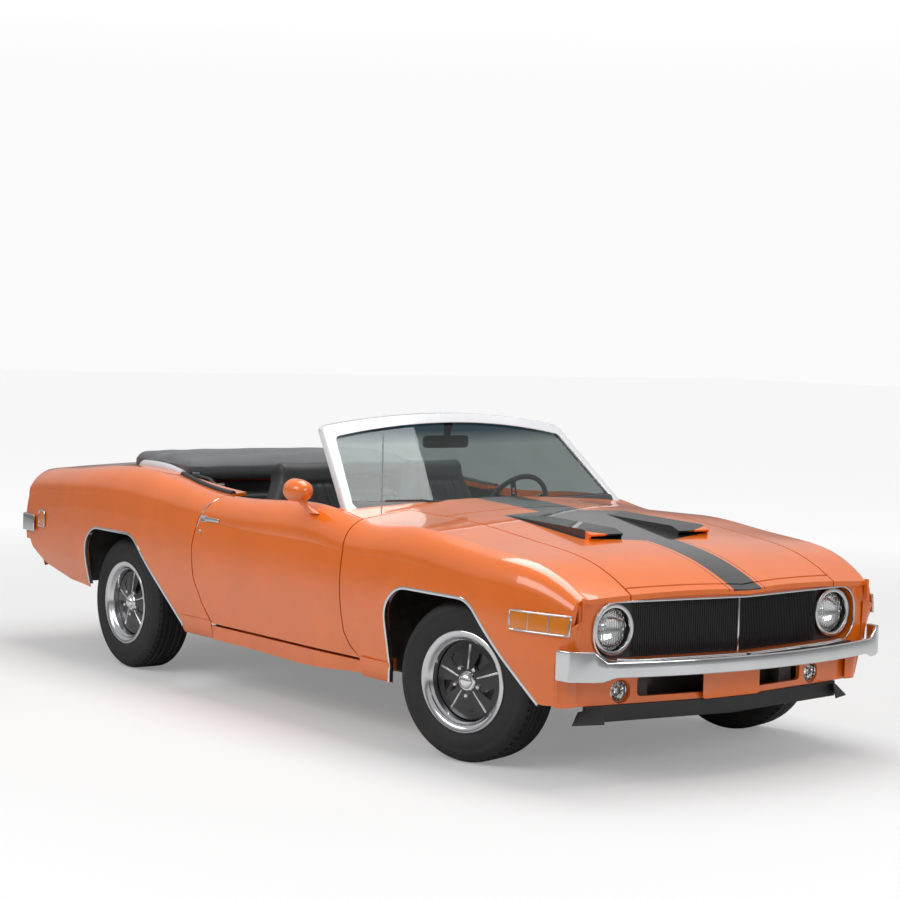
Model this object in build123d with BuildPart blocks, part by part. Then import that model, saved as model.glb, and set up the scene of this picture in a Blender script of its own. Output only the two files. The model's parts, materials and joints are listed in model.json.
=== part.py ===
from math import cos, radians, sin
import os

from build123d import *

os.makedirs("parts", exist_ok=True)

# Frame: +X forward, +Y to the left, +Z up, origin on the ground under the middle of the car. Millimetres.

# Overall sizes and wheels
HALF_LENGTH = 2390
FRONT_AXLE_X = 1490
REAR_AXLE_X = -1265
AXLE_Z = 330
TYRE_R = 330
RIM_FACE_IN = 38
TYRE_W = 214
BEAD_R = 190
RIM_R = 206
RIM_HALF_W = 94
WHEEL_Y = 750
KINGPIN_Y = 700
STEER_DEG = 16

# Gaps and walls
PANEL_GAP = 8
SEAT_GAP = 0.3
SKIN = 20
DOOR_INNER_Y = 812

# Body sections, one row a station:
# x, sill y, sill z, tuck y, tuck z, side y, side z, shoulder y, shoulder z, crest y, crest z, centre z
FRONT_REACH = HALF_LENGTH - 105 - FRONT_AXLE_X
REAR_REACH = HALF_LENGTH + REAR_AXLE_X
BODY_STATIONS = [
    (FRONT_AXLE_X + 1.057 * FRONT_REACH, 742, 330, 762, 440, 772, 560, 757, 650, 700, 670, 724),
    (FRONT_AXLE_X + 0.868 * FRONT_REACH, 800, 325, 822, 450, 832, 580, 818, 690, 752, 733, 790),
    (FRONT_AXLE_X + 0.704 * FRONT_REACH, 835, 312, 862, 468, 872, 602, 860, 725, 782, 806, 836),
    (FRONT_AXLE_X + 0.453 * FRONT_REACH, 858, 300, 895, 480, 905, 622, 895, 748, 798, 860, 880),
    (FRONT_AXLE_X, 870, 272, 911, 490, 922, 645, 911, 768, 806, 895, 925),
    (1050, 870, 262, 912, 500, 926, 660, 914, 786, 812, 920, 968),
    (620, 870, 258, 912, 500, 928, 660, 916, 796, 822, 941, 990),
    (0, 870, 258, 912, 500, 929, 662, 917, 806, 832, 944, 1000),
    (-480, 870, 258, 912, 495, 930, 668, 918, 832, 828, 946, 1000),
    (-900, 870, 262, 911, 490, 930, 675, 917, 862, 806, 992, 1020),
    (REAR_AXLE_X - 0.076 * REAR_REACH, 868, 300, 908, 492, 926, 682, 913, 868, 796, 1012, 1030),
    (REAR_AXLE_X - 0.564 * REAR_REACH, 858, 360, 893, 505, 906, 682, 892, 842, 788, 968, 1000),
    (REAR_AXLE_X - 1.027 * REAR_REACH, 842, 430, 862, 525, 870, 660, 854, 765, 770, 900, 925),
]
CREST_BULGE = 0.17


def section_points(row, inset, drop):
    """Corner points (y, z) of the left half of a body section, brought in by inset, its foot let down by drop."""
    _, sill_y, sill_z, tuck_y, tuck_z, side_y, side_z, shoulder_y, shoulder_z, crest_y, crest_z, centre_z = row
    shoulder = (shoulder_y - inset, shoulder_z)
    crest = (crest_y - 0.6 * inset, crest_z - inset)
    run_y = crest[0] - shoulder[0]
    run_z = crest[1] - shoulder[1]
    roll = (shoulder[0] + run_y / 2 + run_z * CREST_BULGE, shoulder[1] + run_z / 2 - run_y * CREST_BULGE)
    left = [(sill_y - inset, sill_z - drop), (tuck_y - inset, tuck_z), (side_y - inset, side_z), shoulder, roll, crest]
    return left, (0, centre_z - inset)


def body_form(inset, drop):
    """The whole body as one solid lofted through its stations."""
    with BuildPart() as form:
        for row in BODY_STATIONS:
            left, centre = section_points(row, inset, drop)
            right = [(-y, z) for y, z in left]
            with BuildSketch(Plane.YZ.offset(row[0])):
                with BuildLine():
                    Line(right[0], left[0])
                    Line(left[0], left[1])
                    ThreePointArc(left[1], left[2], left[3])
                    ThreePointArc(left[3], left[4], left[5])
                    ThreePointArc(left[5], centre, right[5])
                    ThreePointArc(right[5], right[4], right[3])
                    ThreePointArc(right[3], right[2], right[1])
                    Line(right[1], right[0])
                make_face()
        loft()
    return form.part


def side_prism(points, inner_y, outer_y, corner=0):
    """A side-view outline (x, z) extruded across the car from inner_y to outer_y, its two top corners rounded."""
    with BuildPart() as prism:
        with BuildSketch(Plane.XZ.offset(-outer_y)) as outline:
            Polygon(*points, align=None)
            if corner:
                fillet(outline.vertices().sort_by(Axis.Y)[-2:], radius=corner)
        extrude(amount=outer_y - inner_y)
    return prism.part


def plan_prism(points, low_z, high_z):
    """A plan outline (x, y) extruded upwards from low_z to high_z."""
    with BuildPart() as prism:
        with BuildSketch(Plane.XY.offset(low_z)):
            Polygon(*points, align=None)
        extrude(amount=high_z - low_z)
    return prism.part


body_outer = body_form(0, 0)
body_inner = body_form(SKIN, 400)

with BuildPart() as body_shell:
    add(body_outer)
    add(body_inner, mode=Mode.SUBTRACT)

skin_core = body_form(SKIN + SEAT_GAP, 400)

# Cut lines in side view (x, z)
DOOR_BOTTOM_Z = 338
DOOR_FRONT_X = 755
DOOR_OUTLINE = [
    (857, DOOR_BOTTOM_Z), (790, 380), (DOOR_FRONT_X, 440), (DOOR_FRONT_X, 1100), (-335, 1100), (-340, 940),
    (-440, 828), (-482, 690), (-478, 540), (-430, 430), (-359, DOOR_BOTTOM_Z),
]
DOOR_GAP_OUTLINE = [
    (870, DOOR_BOTTOM_Z - PANEL_GAP), (797, 386), (DOOR_FRONT_X + PANEL_GAP, 443), (DOOR_FRONT_X + PANEL_GAP, 1100),
    (-343, 1100), (-348, 936), (-448, 824), (-490, 692), (-486, 538), (-437, 425), (-366, DOOR_BOTTOM_Z - PANEL_GAP),
]
FRONT_ARCH = [(1085, 200), (1085, 676), (1640, 676), (2010, 300), (2010, 200)]
REAR_ARCH = [(-1590, 200), (-1590, 690), (-1075, 690), (-640, 290), (-640, 200)]
ARCH_R = 150
BODY_HALF = 1000

# Cut lines in plan
HOOD_HALF = 560
HOOD_REAR_X = 1010
COWL_REAR_X = 560
COWL_HALF = 806
NOSE_TIP_X = HALF_LENGTH - 105
NOSE_CORNER_X = NOSE_TIP_X - 100
NOSE_CORNER_Y = 745
NOSE_RAKE = (NOSE_TIP_X - NOSE_CORNER_X) / NOSE_CORNER_Y
HOOD_LIP = 42
COCKPIT_HALF = 720
COCKPIT_REAR_X = -1480
DECK_HALF = 640
DECK_FRONT_X = -1500
TAIL_X = 50 - HALF_LENGTH
DECK_REAR_X = TAIL_X + 50


def nose_x(y, back):
    """Front edge of the nose at y, moved back."""
    return NOSE_TIP_X - back - NOSE_RAKE * abs(y)


def nose_plan(back, half, rear_x):
    """Plan outline with the arrow-shaped front edge, from rear_x forward."""
    return [(rear_x, -half), (nose_x(half, back), -half), (nose_x(0, back), 0), (nose_x(half, back), half), (rear_x, half)]


front_arch = side_prism(FRONT_ARCH, 300, BODY_HALF, ARCH_R)
rear_arch = side_prism(REAR_ARCH, 300, BODY_HALF, ARCH_R)
nose_space = plan_prism(nose_plan(0, BODY_HALF, COWL_REAR_X), 0, 1200)

# Front fenders
FENDER_SIDE = [
    (870, 250), (1300, 250), (NOSE_CORNER_X - 85, 290), (NOSE_CORNER_X - 60, 520), (NOSE_CORNER_X + 60, 720), (NOSE_CORNER_X + 60, 1000),
    (DOOR_FRONT_X + PANEL_GAP, 1000), (DOOR_FRONT_X + PANEL_GAP, 443), (797, 386), (870, 330),
]
with BuildPart() as fender_left:
    add(body_shell.part)
    add(side_prism(FENDER_SIDE, HOOD_HALF + PANEL_GAP / 2, BODY_HALF), mode=Mode.INTERSECT)
    add(front_arch, mode=Mode.SUBTRACT)
    add(nose_space, mode=Mode.INTERSECT)
with BuildPart() as fender_right:
    mirror(fender_left.part, about=Plane.XZ)

# Quarter panels
QUARTER_SIDE = [
    (-366, 250), (-366, DOOR_BOTTOM_Z - PANEL_GAP), (-437, 425), (-486, 538), (-490, 692), (-448, 824), (-348, 936),
    (-343, 1100), (DECK_REAR_X, 1100), (TAIL_X + 22, 925), (TAIL_X - 12, 830), (TAIL_X - 5, 640), (TAIL_X + 70, 520),
    (TAIL_X + 210, 450), (-1500, 330),
    (-640, 250),
]
with BuildPart() as quarter_left:
    add(body_shell.part)
    add(side_prism(QUARTER_SIDE, DECK_HALF + PANEL_GAP / 2, BODY_HALF), mode=Mode.INTERSECT)
    add(rear_arch, mode=Mode.SUBTRACT)
    add(plan_prism([(0, 0), (0, COCKPIT_HALF), (COCKPIT_REAR_X, COCKPIT_HALF), (COCKPIT_REAR_X, 0)], 500, 1200),
        mode=Mode.SUBTRACT)
with BuildPart() as quarter_right:
    mirror(quarter_left.part, about=Plane.XZ)

# Doors, each as thick as the whole door
with BuildPart() as door_left:
    add(body_outer)
    add(side_prism(DOOR_OUTLINE, DOOR_INNER_Y, BODY_HALF), mode=Mode.INTERSECT)
with BuildPart() as door_right:
    mirror(door_left.part, about=Plane.XZ)

# Sills under the doors
with BuildPart() as sill_left:
    add(body_outer)
    add(side_prism([(869.7, 250), (869.7, 326), (-365.7, 326), (-365.7, 250)], 696.3, BODY_HALF), mode=Mode.INTERSECT)
with BuildPart() as sills:
    add(sill_left.part)
    mirror(sill_left.part, about=Plane.XZ)

# Windscreen
SCREEN_BASE_Z = 936
SCREEN_TOP_Z = 1352
SCREEN_CORNER_Z = 1290
SCREEN_LOFT_Z = 1400
SCREEN_CROWN = 108
SCREEN_LEAN = 0.30
SCREEN_BAR = 42


def screen_band(front, thick):
    """The windscreen's curved, raked slab, its outer face moved back by front."""
    with BuildPart() as band:
        for z, corner_x, corner_y in ((SCREEN_BASE_Z, 612, 797), (SCREEN_LOFT_Z, 121, 655)):
            outer_x = corner_x - front
            inner_x = outer_x - thick
            with BuildSketch(Plane.XY.offset(z)):
                with BuildLine():
                    ThreePointArc((outer_x, -corner_y), (outer_x + SCREEN_CROWN, 0), (outer_x, corner_y))
                    Line((outer_x, corner_y), (inner_x, corner_y))
                    ThreePointArc((inner_x, corner_y), (inner_x + SCREEN_CROWN, 0), (inner_x, -corner_y))
                    Line((inner_x, -corner_y), (outer_x, -corner_y))
                make_face()
        loft(ruled=True)
    return band.part


def screen_outline(side, low_z, shrink, corner):
    """The windscreen seen from ahead, arched at its top and brought in by shrink, extruded fore and aft."""
    base_y = side - shrink
    top_y = side - SCREEN_LEAN * (SCREEN_CORNER_Z - low_z) - shrink
    with BuildPart() as outline:
        with BuildSketch(Plane.YZ) as face:
            with BuildLine():
                Line((top_y, SCREEN_CORNER_Z - shrink), (base_y, low_z))
                Line((base_y, low_z), (-base_y, low_z))
                Line((-base_y, low_z), (-top_y, SCREEN_CORNER_Z - shrink))
                ThreePointArc((-top_y, SCREEN_CORNER_Z - shrink), (0, SCREEN_TOP_Z - shrink),
                              (top_y, SCREEN_CORNER_Z - shrink))
            make_face()
            fillet(face.vertices().sort_by(Axis.Y)[-2:], radius=corner)
        extrude(amount=900)
    return outline.part


# Room behind the windscreen's foot, for the dashboard
with BuildPart() as screen_foot:
    with BuildSketch(Plane.XY.offset(800)):
        with BuildLine():
            ThreePointArc((612, -797), (612 + SCREEN_CROWN, 0), (612, 797))
            Polyline((612, 797), (500, 797), (500, -797), (612, -797))
        make_face()
    extrude(amount=SCREEN_BASE_Z - 800)

# Cowl between the windscreen and the hood
COWL_PLAN = [
    (COWL_REAR_X, -COWL_HALF), (DOOR_FRONT_X, -COWL_HALF), (DOOR_FRONT_X, -HOOD_HALF + 4),
    (HOOD_REAR_X - PANEL_GAP, -HOOD_HALF + 4), (HOOD_REAR_X - PANEL_GAP, HOOD_HALF - 4), (DOOR_FRONT_X, HOOD_HALF - 4),
    (DOOR_FRONT_X, COWL_HALF), (COWL_REAR_X, COWL_HALF),
]
with BuildPart() as cowl_panel:
    add(body_shell.part)
    add(plan_prism(COWL_PLAN, 800, 1200), mode=Mode.INTERSECT)
    add(screen_band(-SEAT_GAP, 300), mode=Mode.SUBTRACT)
    add(screen_foot.part, mode=Mode.SUBTRACT)

# Hood with its two wedge-shaped scoops
SCOOP_Y = 245
SCOOP_W = 176
SCOOP_MOUTH_X = 1700
SCOOP_TAIL_X = 1016
SCOOP_TAIL_Z = 958
SCOOP_TOP_Z = 938
SCOOP_WALL = 7
SCOOP_BORE = 150
with BuildPart() as hood:
    add(body_shell.part)
    add(plan_prism(nose_plan(HOOD_LIP, HOOD_HALF - PANEL_GAP / 2, HOOD_REAR_X), 600, 1200), mode=Mode.INTERSECT)
    for side in (-1, 1):
        with BuildSketch(Plane.XZ.offset(-side * SCOOP_Y - SCOOP_W / 2)):
            Polygon((SCOOP_TAIL_X, SCOOP_TAIL_Z), (SCOOP_MOUTH_X - 50, SCOOP_TOP_Z), (SCOOP_MOUTH_X, SCOOP_TOP_Z - 18),
                    (SCOOP_MOUTH_X - 24, 880), (SCOOP_TAIL_X, 935), align=None)
        extrude(amount=SCOOP_W)
        with BuildSketch(Plane.XZ.offset(-side * SCOOP_Y - SCOOP_W / 2 + SCOOP_WALL)):
            Polygon((SCOOP_MOUTH_X - SCOOP_BORE, 906), (SCOOP_MOUTH_X - 55, SCOOP_TOP_Z - SCOOP_WALL),
                    (SCOOP_MOUTH_X + 10, SCOOP_TOP_Z - 24 - SCOOP_WALL), (SCOOP_MOUTH_X + 10, 900), align=None)
        extrude(amount=SCOOP_W - 2 * SCOOP_WALL, mode=Mode.SUBTRACT)

# Nose panel: the lip ahead of the hood and the fascia round the wide grille opening
LAMP_X = NOSE_TIP_X - 166
LAMP_Y = 604
LAMP_Z = 606
LAMP_R = 89
FASCIA_LOW_Z = 478
FASCIA_DEPTH = 60
MOUTH_LOW_Z = 492
MOUTH_HIGH_Z = 712
MOUTH_HALF = 715
MOUTH_R = 95
LIP_BACK = 12
with BuildPart() as nose_lip:
    add(body_shell.part)
    add(plan_prism(nose_plan(0, HOOD_HALF - PANEL_GAP / 2, 2000), 600, 1200), mode=Mode.INTERSECT)
    add(plan_prism(nose_plan(HOOD_LIP - PANEL_GAP, HOOD_HALF, 1900), 600, 1200), mode=Mode.SUBTRACT)
with BuildPart() as fascia:
    add(skin_core)
    add(plan_prism(nose_plan(LIP_BACK, 790, 1900), FASCIA_LOW_Z, 1000), mode=Mode.INTERSECT)
    add(plan_prism(nose_plan(LIP_BACK + FASCIA_DEPTH, 900, 1800), FASCIA_LOW_Z - 10, 1100), mode=Mode.SUBTRACT)
    with BuildSketch(Plane.YZ.offset(1800)):
        with Locations((0, (MOUTH_LOW_Z + MOUTH_HIGH_Z) / 2)):
            RectangleRounded(2 * MOUTH_HALF, MOUTH_HIGH_Z - MOUTH_LOW_Z, MOUTH_R)
    extrude(amount=600, mode=Mode.SUBTRACT)
with BuildPart() as nose_panel:
    add(body_inner)
    add(plan_prism(nose_plan(LIP_BACK, HOOD_HALF - PANEL_GAP / 2, 1900), MOUTH_HIGH_Z + 4, 1000), mode=Mode.INTERSECT)
    add(plan_prism(nose_plan(HOOD_LIP - PANEL_GAP, 900, 1800), FASCIA_LOW_Z - 10, 1100), mode=Mode.SUBTRACT)
    add(nose_lip.part)
    add(fascia.part)

# Grille filling the opening behind the lip: a back plate, blades, uprights and the headlamp buckets
GRILLE_BACK = 62
GRILLE_PLATE = 8
BUCKET_WALL = 5
BUCKET_DEPTH = 82


def mouth_outline(shrink):
    """The grille opening seen from ahead, extruded through the nose."""
    with BuildPart() as outline:
        with BuildSketch(Plane.YZ.offset(1800)):
            with Locations((0, (MOUTH_LOW_Z + MOUTH_HIGH_Z) / 2)):
                RectangleRounded(2 * (MOUTH_HALF - shrink), MOUTH_HIGH_Z - MOUTH_LOW_Z - 2 * shrink, MOUTH_R - shrink)
        extrude(amount=600)
    return outline.part


with BuildPart() as grille:
    add(mouth_outline(SEAT_GAP))
    add(plan_prism(nose_plan(GRILLE_BACK, 800, 1900), 400, 900), mode=Mode.INTERSECT)
    add(plan_prism(nose_plan(GRILLE_BACK + GRILLE_PLATE, 900, 1800), 300, 1000), mode=Mode.SUBTRACT)
    with Locations((LAMP_X, LAMP_Y, LAMP_Z), (LAMP_X, -LAMP_Y, LAMP_Z)):
        Cylinder(LAMP_R + BUCKET_WALL, BUCKET_DEPTH, rotation=(0, 90, 0))
        Cylinder(LAMP_R + SEAT_GAP, 400, rotation=(0, 90, 0), mode=Mode.SUBTRACT)

# Bright trim of the nose: the band round the opening, the lamp bezels and the upright between the two halves
BAND_W = 8
BEZEL_IN = 5
BEZEL_OUT = 11
BEZEL_DEPTH = 9
UPRIGHT_W = 9
with BuildPart() as nose_band:
    add(mouth_outline(-BAND_W))
    add(mouth_outline(-SEAT_GAP), mode=Mode.SUBTRACT)
    add(plan_prism(nose_plan(2, 800, 1900), 400, 900), mode=Mode.INTERSECT)
    add(plan_prism(nose_plan(LIP_BACK - SEAT_GAP, 900, 1800), 300, 1000), mode=Mode.SUBTRACT)
    add(skin_core, mode=Mode.INTERSECT)
with BuildPart() as grille_trim:
    add(nose_band.part)
    with Locations((LAMP_X + (BUCKET_DEPTH + BEZEL_DEPTH) / 2 + SEAT_GAP, LAMP_Y, LAMP_Z),
                   (LAMP_X + (BUCKET_DEPTH + BEZEL_DEPTH) / 2 + SEAT_GAP, -LAMP_Y, LAMP_Z)):
        Cylinder(LAMP_R + BEZEL_OUT, BEZEL_DEPTH, rotation=(0, 90, 0))
        Cylinder(LAMP_R - BEZEL_IN, BEZEL_DEPTH, rotation=(0, 90, 0), mode=Mode.SUBTRACT)
    with Locations((NOSE_TIP_X - GRILLE_BACK + UPRIGHT_W / 2 + SEAT_GAP, 0, (MOUTH_LOW_Z + MOUTH_HIGH_Z) / 2)):
        Box(UPRIGHT_W, UPRIGHT_W, MOUTH_HIGH_Z - MOUTH_LOW_Z - 2 * SEAT_GAP)

# Headlamps and fog lamps, each with a domed lens
LAMP_DEPTH = 60
LENS_RISE = 10
FOG_X = NOSE_TIP_X - 200
FOG_Y = 527
FOG_Z = 354
FOG_R = 46
with BuildPart() as front_lamps:
    for x, y, z, radius in ((LAMP_X, LAMP_Y, LAMP_Z, LAMP_R), (FOG_X, FOG_Y, FOG_Z, FOG_R)):
        for side in (-1, 1):
            with BuildSketch(Plane.XY.offset(z)):
                with BuildLine():
                    Polyline((x + LAMP_DEPTH / 2 - LENS_RISE, side * y + radius), (x - LAMP_DEPTH / 2, side * y + radius),
                             (x - LAMP_DEPTH / 2, side * y), (x + LAMP_DEPTH / 2, side * y))
                    ThreePointArc((x + LAMP_DEPTH / 2, side * y),
                                  (x + LAMP_DEPTH / 2 - LENS_RISE * 0.25, side * y + radius * 0.5),
                                  (x + LAMP_DEPTH / 2 - LENS_RISE, side * y + radius))
                make_face()
            revolve(axis=Axis((x, side * y, z), (1, 0, 0)))

# Side marker lamps on the skin of the front fenders and the quarters
MARKER_PROUD = 7
FRONT_MARKER = (1900, 2180, 595, 669)
REAR_MARKER = (-2150, -2080, 643, 724)
with BuildPart() as side_markers:
    add(body_form(-MARKER_PROUD, 0))
    add(body_form(-SEAT_GAP, 20), mode=Mode.SUBTRACT)
    with BuildSketch(Plane.XZ.offset(BODY_HALF)):
        for low_x, high_x, low_z, high_z in (FRONT_MARKER, REAR_MARKER):
            Polygon((low_x, low_z), (high_x, low_z), (high_x, high_z), (low_x, high_z), align=None)
    extrude(amount=-2 * BODY_HALF, mode=Mode.INTERSECT)
    add(plan_prism([(-2300, -700), (2300, -700), (2300, 700), (-2300, 700)], 500, 800), mode=Mode.SUBTRACT)

# Bumpers: a bowed bar whose ends are taller and wrap round the corners
BUMPER_LOW_Z = 440
BUMPER_HIGH_Z = 502
BUMPER_END_LOW_Z = 424
BUMPER_END_HIGH_Z = 540
VALANCE_BACK = 85
BUMPER_WALL = 14
BUMPER_BOW = 126
BUMPER_CORNER_Y = 772
BUMPER_END_Y = 865
BRACKET_Y = 400
with BuildPart() as front_bumper:
    with BuildSketch(Plane.XY.offset(BUMPER_END_LOW_Z)):
        corner_x = HALF_LENGTH - BUMPER_BOW
        with BuildLine():
            Polyline((corner_x - 128, BUMPER_END_Y), (corner_x - 62, BUMPER_END_Y - 10), (corner_x, BUMPER_CORNER_Y))
            ThreePointArc((corner_x, BUMPER_CORNER_Y), (HALF_LENGTH, 0), (corner_x, -BUMPER_CORNER_Y))
            Polyline((corner_x, -BUMPER_CORNER_Y), (corner_x - 62, 10 - BUMPER_END_Y), (corner_x - 128, -BUMPER_END_Y),
                     (corner_x - 128, BUMPER_WALL - BUMPER_END_Y), (corner_x - 66, BUMPER_WALL + 8 - BUMPER_END_Y),
                     (corner_x - BUMPER_WALL, 10 - BUMPER_CORNER_Y))
            ThreePointArc((corner_x - BUMPER_WALL, 10 - BUMPER_CORNER_Y), (HALF_LENGTH - BUMPER_WALL, 0),
                          (corner_x - BUMPER_WALL, BUMPER_CORNER_Y - 10))
            Polyline((corner_x - BUMPER_WALL, BUMPER_CORNER_Y - 10),
                     (corner_x - 66, BUMPER_END_Y - BUMPER_WALL - 8),
                     (corner_x - 128, BUMPER_END_Y - BUMPER_WALL), (corner_x - 128, BUMPER_END_Y))
        make_face()
    extrude(amount=BUMPER_END_HIGH_Z - BUMPER_END_LOW_Z)
    with BuildSketch(Plane.YZ.offset(corner_x - 200)):
        Polygon((-900, BUMPER_END_LOW_Z), (-740, BUMPER_END_LOW_Z), (-690, BUMPER_LOW_Z), (690, BUMPER_LOW_Z),
                (740, BUMPER_END_LOW_Z), (900, BUMPER_END_LOW_Z), (900, BUMPER_END_HIGH_Z), (775, BUMPER_END_HIGH_Z),
                (725, BUMPER_HIGH_Z), (-725, BUMPER_HIGH_Z), (-775, BUMPER_END_HIGH_Z), (-900, BUMPER_END_HIGH_Z),
                align=None)
    extrude(amount=400, mode=Mode.INTERSECT)
    with Locations((HALF_LENGTH - 145, BRACKET_Y, 457), (HALF_LENGTH - 145, -BRACKET_Y, 457)):
        Box(210, 40, 15.4)
    add(plan_prism(nose_plan(VALANCE_BACK - SEAT_GAP, 800, 1800), 300, 600), mode=Mode.SUBTRACT)
REAR_BUMPER_LOW_Z = 608
REAR_BUMPER_H = 90
REAR_BUMPER_BOW = 14
REAR_BUMPER_END_Y = 905
with BuildPart() as rear_bumper:
    with BuildSketch(Plane.XY.offset(REAR_BUMPER_LOW_Z)):
        rear_x = REAR_BUMPER_BOW - HALF_LENGTH
        with BuildLine():
            Polyline((rear_x + 176, REAR_BUMPER_END_Y), (rear_x + 36, REAR_BUMPER_END_Y - 7), (rear_x, REAR_BUMPER_END_Y - 43))
            ThreePointArc((rear_x, REAR_BUMPER_END_Y - 43), (-HALF_LENGTH, 0), (rear_x, 43 - REAR_BUMPER_END_Y))
            Polyline((rear_x, 43 - REAR_BUMPER_END_Y), (rear_x + 36, 7 - REAR_BUMPER_END_Y),
                     (rear_x + 176, -REAR_BUMPER_END_Y), (rear_x + 176, 9 - REAR_BUMPER_END_Y),
                     (rear_x + 41, 16 - REAR_BUMPER_END_Y), (rear_x + 14, 50 - REAR_BUMPER_END_Y))
            ThreePointArc((rear_x + 14, 50 - REAR_BUMPER_END_Y), (20 - HALF_LENGTH, 0),
                          (rear_x + 14, REAR_BUMPER_END_Y - 50))
            Polyline((rear_x + 14, REAR_BUMPER_END_Y - 50), (rear_x + 41, REAR_BUMPER_END_Y - 16),
                     (rear_x + 176, REAR_BUMPER_END_Y - 9), (rear_x + 176, REAR_BUMPER_END_Y))
        make_face()
    extrude(amount=REAR_BUMPER_H)
    with Locations((35 - HALF_LENGTH, BRACKET_Y, 650), (35 - HALF_LENGTH, -BRACKET_Y, 650)):
        Box(29.4, 60, 60)

# Valance below the front bumper, chin spoiler and plate
PLATE_Z = 370
PLATE_H = 128
PLATE_HOLE_Y = 89
PLATE_HOLE_Z = 422
PLATE_HOLE_R = 3.5
with BuildPart() as front_valance:
    add(plan_prism(nose_plan(VALANCE_BACK, 770, 1900), 305, FASCIA_LOW_Z - SEAT_GAP))
    add(plan_prism(nose_plan(VALANCE_BACK + 20, 800, 1800), 200, 500), mode=Mode.SUBTRACT)
    with BuildSketch(Plane.XY.offset(465)):
        Polygon(*nose_plan(30, 620, 1900), align=None)
        Polygon(*nose_plan(104, 800, 1800), align=None, mode=Mode.SUBTRACT)
    extrude(amount=FASCIA_LOW_Z - SEAT_GAP - 465)
    with BuildSketch(Plane.YZ.offset(1800)):
        with Locations((0, 370)):
            RectangleRounded(900, 80, 20)
        with Locations((FOG_Y, FOG_Z), (-FOG_Y, FOG_Z)):
            Circle(FOG_R + SEAT_GAP)
    extrude(amount=600, mode=Mode.SUBTRACT)
with BuildPart() as chin_spoiler:
    add(plan_prism(nose_plan(75, 690, 1900), 240, 304.7))
    add(plan_prism(nose_plan(97, 800, 1800), 200, 500), mode=Mode.SUBTRACT)
with BuildPart() as front_plate:
    with Locations((NOSE_TIP_X - 82.7, 0, PLATE_Z)):
        Box(4, 310, PLATE_H)
    with Locations((NOSE_TIP_X - 82, PLATE_HOLE_Y, PLATE_HOLE_Z), (NOSE_TIP_X - 82, -PLATE_HOLE_Y, PLATE_HOLE_Z)):
        Cylinder(PLATE_HOLE_R, 20, rotation=(0, 90, 0), mode=Mode.SUBTRACT)

# Tail panel, lamps
TAIL_LAMP_Y = 470
TAIL_LAMP_Z = 775
TAIL_LAMP_W = 500
TAIL_LAMP_H = 80
with BuildPart() as tail_skin:
    add(body_outer)
    with BuildSketch(Plane.XZ.offset(-BODY_HALF)):
        Polygon((DECK_REAR_X, 560), (DECK_REAR_X, 1100), (DECK_REAR_X - 10, 1100), (TAIL_X + 22, 925), (TAIL_X, 830),
                (TAIL_X, 560), align=None)
    extrude(amount=2 * BODY_HALF, mode=Mode.INTERSECT)
    add(quarter_left.part, mode=Mode.SUBTRACT)
    add(quarter_right.part, mode=Mode.SUBTRACT)
with BuildPart() as lid_ledge:
    add(skin_core)
    add(plan_prism([(DECK_REAR_X - 2, -500), (DECK_REAR_X + 28, -500), (DECK_REAR_X + 28, 500), (DECK_REAR_X - 2, 500)],
                   860, 1100), mode=Mode.INTERSECT)
with BuildPart() as tail_panel:
    add(tail_skin.part)
    add(lid_ledge.part)
with BuildPart() as tail_lamps:
    for side in (-1, 1):
        with BuildSketch(Plane.YZ.offset(TAIL_X - SEAT_GAP)):
            with Locations((side * TAIL_LAMP_Y, TAIL_LAMP_Z)):
                RectangleRounded(TAIL_LAMP_W, TAIL_LAMP_H, 14)
        extrude(amount=-16)

# Deck lid
with BuildPart() as deck_lid:
    add(body_shell.part)
    add(plan_prism([(DECK_FRONT_X, -DECK_HALF + 4), (DECK_REAR_X + PANEL_GAP, -DECK_HALF + 4),
                    (DECK_REAR_X + PANEL_GAP, DECK_HALF - 4), (DECK_FRONT_X, DECK_HALF - 4)], 700, 1200),
        mode=Mode.INTERSECT)

# Windscreen frame and glass
with BuildPart() as windshield_frame:
    add(screen_band(0, 46))
    add(screen_outline(797, SCREEN_BASE_Z, 0, 60), mode=Mode.INTERSECT)
    add(screen_outline(785, SCREEN_BASE_Z + SCREEN_BAR, SCREEN_BAR, 30), mode=Mode.SUBTRACT)
with BuildPart() as windshield_glass:
    add(screen_band(16, 6))
    add(screen_outline(785, SCREEN_BASE_Z + SCREEN_BAR + SEAT_GAP, SCREEN_BAR + SEAT_GAP, 30), mode=Mode.INTERSECT)

# Inside mirror hung from the windscreen's header
INSIDE_MIRROR_X = 250
INSIDE_MIRROR_Z = 1216
INSIDE_MIRROR_W = 250
INSIDE_MIRROR_H = 58
with BuildPart() as inside_mirror:
    with BuildSketch(Plane.YZ.offset(INSIDE_MIRROR_X - 12)):
        with Locations((0, INSIDE_MIRROR_Z)):
            RectangleRounded(INSIDE_MIRROR_W, INSIDE_MIRROR_H, 20)
    extrude(amount=24)
    with BuildSketch(Plane.XZ.offset(-11)):
        Polygon((INSIDE_MIRROR_X - 4, INSIDE_MIRROR_Z), (INSIDE_MIRROR_X + 10, INSIDE_MIRROR_Z), (300, 1330), (250, 1330),
                align=None)
    extrude(amount=22)
    add(screen_band(0, 46 + SEAT_GAP), mode=Mode.SUBTRACT)

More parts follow.
